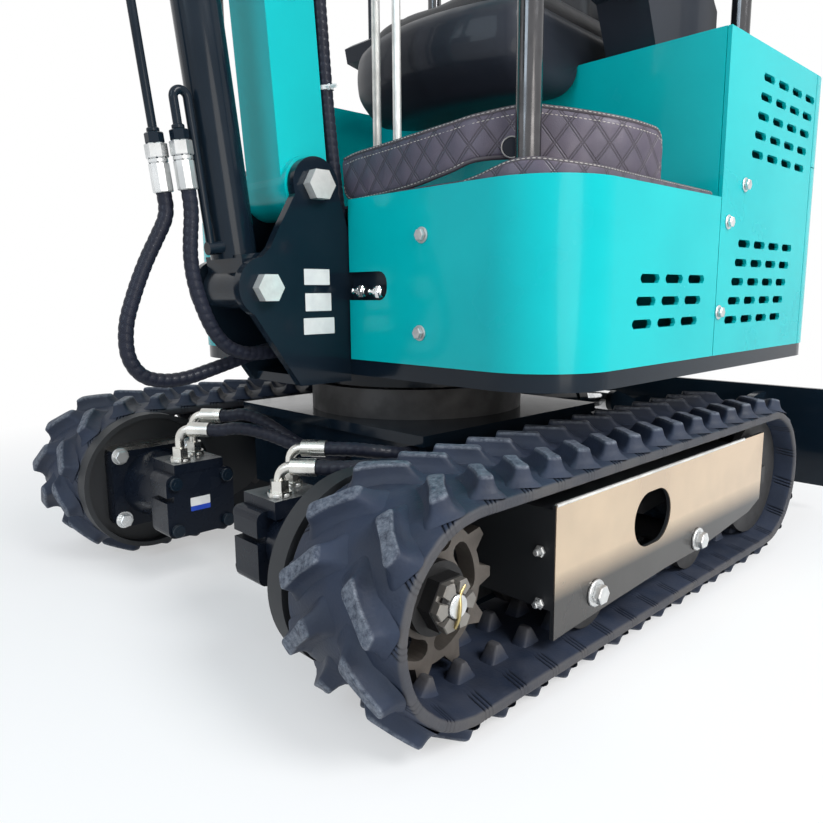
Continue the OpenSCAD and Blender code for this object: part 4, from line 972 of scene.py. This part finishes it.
def cushion(middle, along, out, width, length, thick):
    """A crowned pad: rounded squares shrink from rim to crown, the sides pull in between corners, and
    channels are sewn in."""
    across, along, out = np.array([0.0, 1.0, 0.0]), unit(along), unit(out)
    steps, squareness, pull, seam_w, seam_depth = 112, 0.34, 0.035, 0.006, 0.18
    squared = circle(steps, np.array([1.0, 0.0]), np.array([0.0, 1.0]))
    squared = np.sign(squared) * np.abs(squared) ** squareness
    pulled = squared * (1 - pull * (1 - squared[:, ::-1] ** 2))
    crown = np.concatenate([np.linspace(0, 0.9, 26), np.linspace(0.92, 1, 8)])
    top = thick * np.sqrt(np.clip(1 - crown ** 5, 0, 1))
    size = np.concatenate([crown, [1.004, 0.985, 0.0]])
    level = np.concatenate([top, [-0.35 * thick, -0.5 * thick, -0.5 * thick]])
    x = width / 2 * size[:, None] * pulled[:, 0]
    y = length / 2 * size[:, None] * pulled[:, 1]
    sewn = sum(np.exp(-((x - spot * width) / seam_w) ** 2) for spot in CHANNELS)
    inside = np.clip(1 - size ** 6, 0, 1) * (level >= 0)
    height = level[:, None] - seam_depth * thick * sewn * inside[:, None]
    points = np.asarray(middle) + x[:, :, None] * across + y[:, :, None] * along + height[:, :, None] * out
    return lattice(points)


def rounded_corners(outline, rounds=3):
    """A closed outline with its corners cut: each side keeps two points, a fifth in from its ends."""
    for _ in range(rounds):
        following = np.roll(outline, -1, axis=0)
        kept = [0.8 * outline + 0.2 * following, 0.2 * outline + 0.8 * following]
        outline = np.stack(kept, axis=1).reshape(-1, 2)
    return outline


def moulded_shell(outline, half_width, edge, bow=0.0):
    """A side outline carried across, drawn in along a quarter circle at both sides, with its front bowed back
    by the square of the distance from the middle."""
    outline = rounded_corners(np.asarray(outline, float) / 1000)
    centre = (outline.min(axis=0) + outline.max(axis=0)) / 2
    reach = (outline.max(axis=0) - outline.min(axis=0)) / 2
    steps = 7
    turn = np.linspace(pi / 2, 0, steps)
    rounding = edge * (1 - np.cos(turn))
    inset = np.concatenate([rounding, np.zeros(steps), rounding[::-1]])
    side = half_width - edge + edge * np.sin(turn)
    y = np.concatenate([-side, np.linspace(-0.75, 0.75, steps) * (half_width - edge), side[::-1]])
    flat = centre + (outline - centre) * (1 - inset[:, None, None] / reach)
    front = np.clip((flat[:, :, 0] - centre[0]) / reach[0], 0, 1)
    x = flat[:, :, 0] - bow * front * (y[:, None] / half_width) ** 2
    points = np.stack([x, np.broadcast_to(y[:, None], x.shape), flat[:, :, 1]], axis=-1)
    return closed_ends(lattice(points), len(outline))


# Side outlines of the seat's shells: X and Z in millimetres
SEAT_SIDE = [(-187, 800), (-110, 792), (-40, 789), (22, 831), (30, 868), (22, 910), (-12, 935), (-220, 926),
             (-427, 917), (-427, 851), (-187, 851)]
BACK_SIDE = [(-425, 900), (-440, 1090), (-452, 1270), (-470, 1305), (-500, 1318), (-530, 1308), (-540, 1270),
             (-526, 1060), (-512, 851), (-425, 851)]


def make_seat():
    """Moulded seat and back shells with a pad on each, and three sewn channels in each pad."""
    shells = joined([moulded_shell(SEAT_SIDE, 0.200, 0.034, 0.06), moulded_shell(BACK_SIDE, 0.188, 0.030)])
    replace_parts(piece("seat_shells", shells, moulded, "house", sharp=60), "seat")
    pad = cushion((-0.222, 0, 0.934), (0.999, 0, 0.0434), (-0.0434, 0, 0.999), 0.372, 0.372, 0.042)
    back = cushion((-0.434, 0, 1.122), (-0.0728, 0, 0.9973), (0.9973, 0, 0.0728), 0.350, 0.320, 0.040)
    for name, shape in (("seat_pad", pad), ("back_pad", back)):
        piece(name, shape, seat_vinyl, "house", sharp=60)


make_mat()
make_seat()


# Bolts and small fittings

def castle_nut(place, axis):
    """The crown of a castle nut: a six-sided ring whose top drops in six slots."""
    side, up, axis = square_frame(axis)
    steps, apothem, inner, base, tall, cut = 120, 0.0268, 0.0150, -0.004, 0.0100, 0.0025
    half_slot, edge = 0.13, 0.0012
    folded = np.mod(2 * pi * np.arange(steps) / steps, pi / 3) - pi / 6
    outer = apothem / np.cos(folded)
    top = np.where(np.abs(folded) < half_slot, cut, tall)
    bore, foot = inner + 0 * outer, base + 0 * top
    radius = np.array([outer, outer, outer - edge, bore, bore, outer])
    height = np.array([foot, top - edge, top, top, foot, foot])
    points = radius[:, :, None] * circle(steps, side, up) + height[:, :, None] * axis
    return lattice(np.asarray(place) + points)


def fitted(name, shapes, finish, body="undercarriage", sharp=25):
    """The same small fittings on both sides of the machine, as one piece."""
    piece(name, both(shapes), finish, body, sharp)


# The inner face of the travel motor, which carries its screws and its label
MOTOR_Y = 0.102


def make_house_fittings():
    """Bolts in the house's panels, and grease nipples in the slot beside the bracket."""
    nose, side_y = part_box("front_panel_left")[1][0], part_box("front_panel_left")[1][1]
    bolts = [hex_bolt((nose, y, z), (1, 0, 0)) for y, z in ((0.2327, 0.5467), (0.2277, 0.4143))]
    side_spots = ((-0.277, 0.633), (-0.223, 0.573), (-0.207, 0.436))
    bolts += [hex_bolt((x, side_y, z), (0, 1, 0)) for x, z in side_spots]
    fitted("panel_bolts", bolts, zinc, "house")
    nipple = [(16, 0.0075, 0.003), (6, 0.0098, 0.008), (16, 0.0072, 0.004), (12, 0.0036, 0.006),
              (12, 0.0046, 0.003)]
    spots = ((0.114, 0.472), (0.152, 0.471))
    nipples = [stack((0.213, y, z), (0.30, -0.94, 0.05), nipple) for y, z in spots]
    fitted("grease_nipples", nipples, chrome, "house", sharp=30)


def make_frame_fittings():
    """Bolts, studs and screws on the track frames and motors, the frames' skirts, and a painted highlight
    along each cover's top edge.
    """
    cover_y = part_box("track_frame_left")[1][1]
    roller_z, stud_x, stud_y, pad_y, port_y, port_z = 0.0904, 0.237, 0.457, 0.266, 0.142, 0.206
    roller_bolt = [(28, 0.0180, 0.0036), (6, 0.0128, 0.0105)]
    rollers = [stack((x, cover_y, roller_z), (0, 1, 0), roller_bolt) for x in (0.148, -0.139)]
    stud = [(6, 0.0075, 0.005), (14, 0.0042, 0.007)]
    studs = [stack((stud_x, stud_y, z), (1, 0, 0), stud) for z in (0.164, 0.098)]
    pads = [hex_bolt((AXLE_X + x, pad_y, AXLE_Z + z), (0, -1, 0), 0.020, 0.010, 0.0145)
            for x in (-0.062, 0.062) for z in (-0.056, 0.056)]
    fitted("frame_bolts", rollers + studs + pads, zinc)
    flange = [(8, 0.0165, 0.0055)]
    flanges = [stack((AXLE_X + k * 0.020, side * port_y + k * 0.016, port_z), (0, 0, 1), flange)
               for side in (LEFT, RIGHT) for k in (-1, 1)]
    piece("port_flanges", joined(flanges), bright_zinc, "undercarriage", sharp=25)
    screw = [(24, 0.0105, 0.009), (6, 0.0055, 0.001)]
    screws = [stack((AXLE_X + x, MOTOR_Y, AXLE_Z - 0.003 + z), (0, -1, 0), screw)
              for x in (-0.044, 0.044) for z in (-0.038, 0.038)]
    fitted("motor_screws", screws, black)
    skirt = [(-0.330, 0.046), (0.232, 0.046), (0.232, 0.100), (-0.330, 0.100)]
    skirts = [plate(skirt, (0, 0.3335, 0), (1, 0, 0), (0, 0, 1), 0.0018, 0.0004)]
    fitted("frame_skirts", skirts, black, sharp=30)
    # painted highlight: a bright bar along the top edge of each cover stands in for its edge highlight
    highlight_line = np.array([(x, cover_y - 0.0012, 0.2237) for x in (-0.300, -0.05, 0.2365)])
    fitted("cover_top_highlight", [tube(highlight_line, 0.0024, 10)], bright_zinc, sharp=60)


def make_hubs():
    """A castle nut, axle end and cotter pin on each sprocket's hub."""
    hub = (AXLE_X, 0.449, AXLE_Z)
    fitted("castle_nuts", [castle_nut(hub, (0, 1, 0))], nut_steel, sharp=30)
    fitted("axle_ends", [stack(hub, (0, 1, 0), [(28, 0.0135, 0.0125)])], zinc, sharp=30)
    bent = np.array([(-0.012, 0.4580, 0.020), (-0.003, 0.4595, 0.012), (0, 0.4625, 0.0),
                     (0.002, 0.4625, -0.012), (0.004, 0.4590, -0.023)]) + np.array([AXLE_X, 0, AXLE_Z])
    fitted("cotter_pins", [tube(smooth_path(bent, 6), 0.0022, 8)], brass, sharp=60)


def blank_plate(place, across, up, width, height, thick=0.0006):
    """A thin blank label with rounded corners."""
    return plate(rounded_box_outline(width, height, 0.0012), place, across, up, thick, 0.0002)


def make_labels():
    """Blank labels: three on the boom bracket and a two-tone one on each motor."""
    bracket_y = 0.072
    papers = [blank_plate((x, bracket_y, z), (-1, 0, 0), (0, 0, 1), width, height)
              for x, z, width, height in ((0.272, 0.4935, 0.046, 0.023), (0.2705, 0.457, 0.047, 0.026),
                                          (0.270, 0.422, 0.056, 0.024))]
    piece("bracket_labels", joined(papers), pale_plastic, "house", sharp=30)
    for name, finish, z, height in (("motor_labels", pale_plastic, 0.142, 0.014),
                                    ("motor_label_bands", label_blue, 0.131, 0.008)):
        label = blank_plate((AXLE_X + 0.002, MOTOR_Y, z), (1, 0, 0), (0, 0, 1), 0.034, height)
        fitted(name, [label], finish, sharp=30)


make_house_fittings()
make_frame_fittings()
make_hubs()
make_labels()
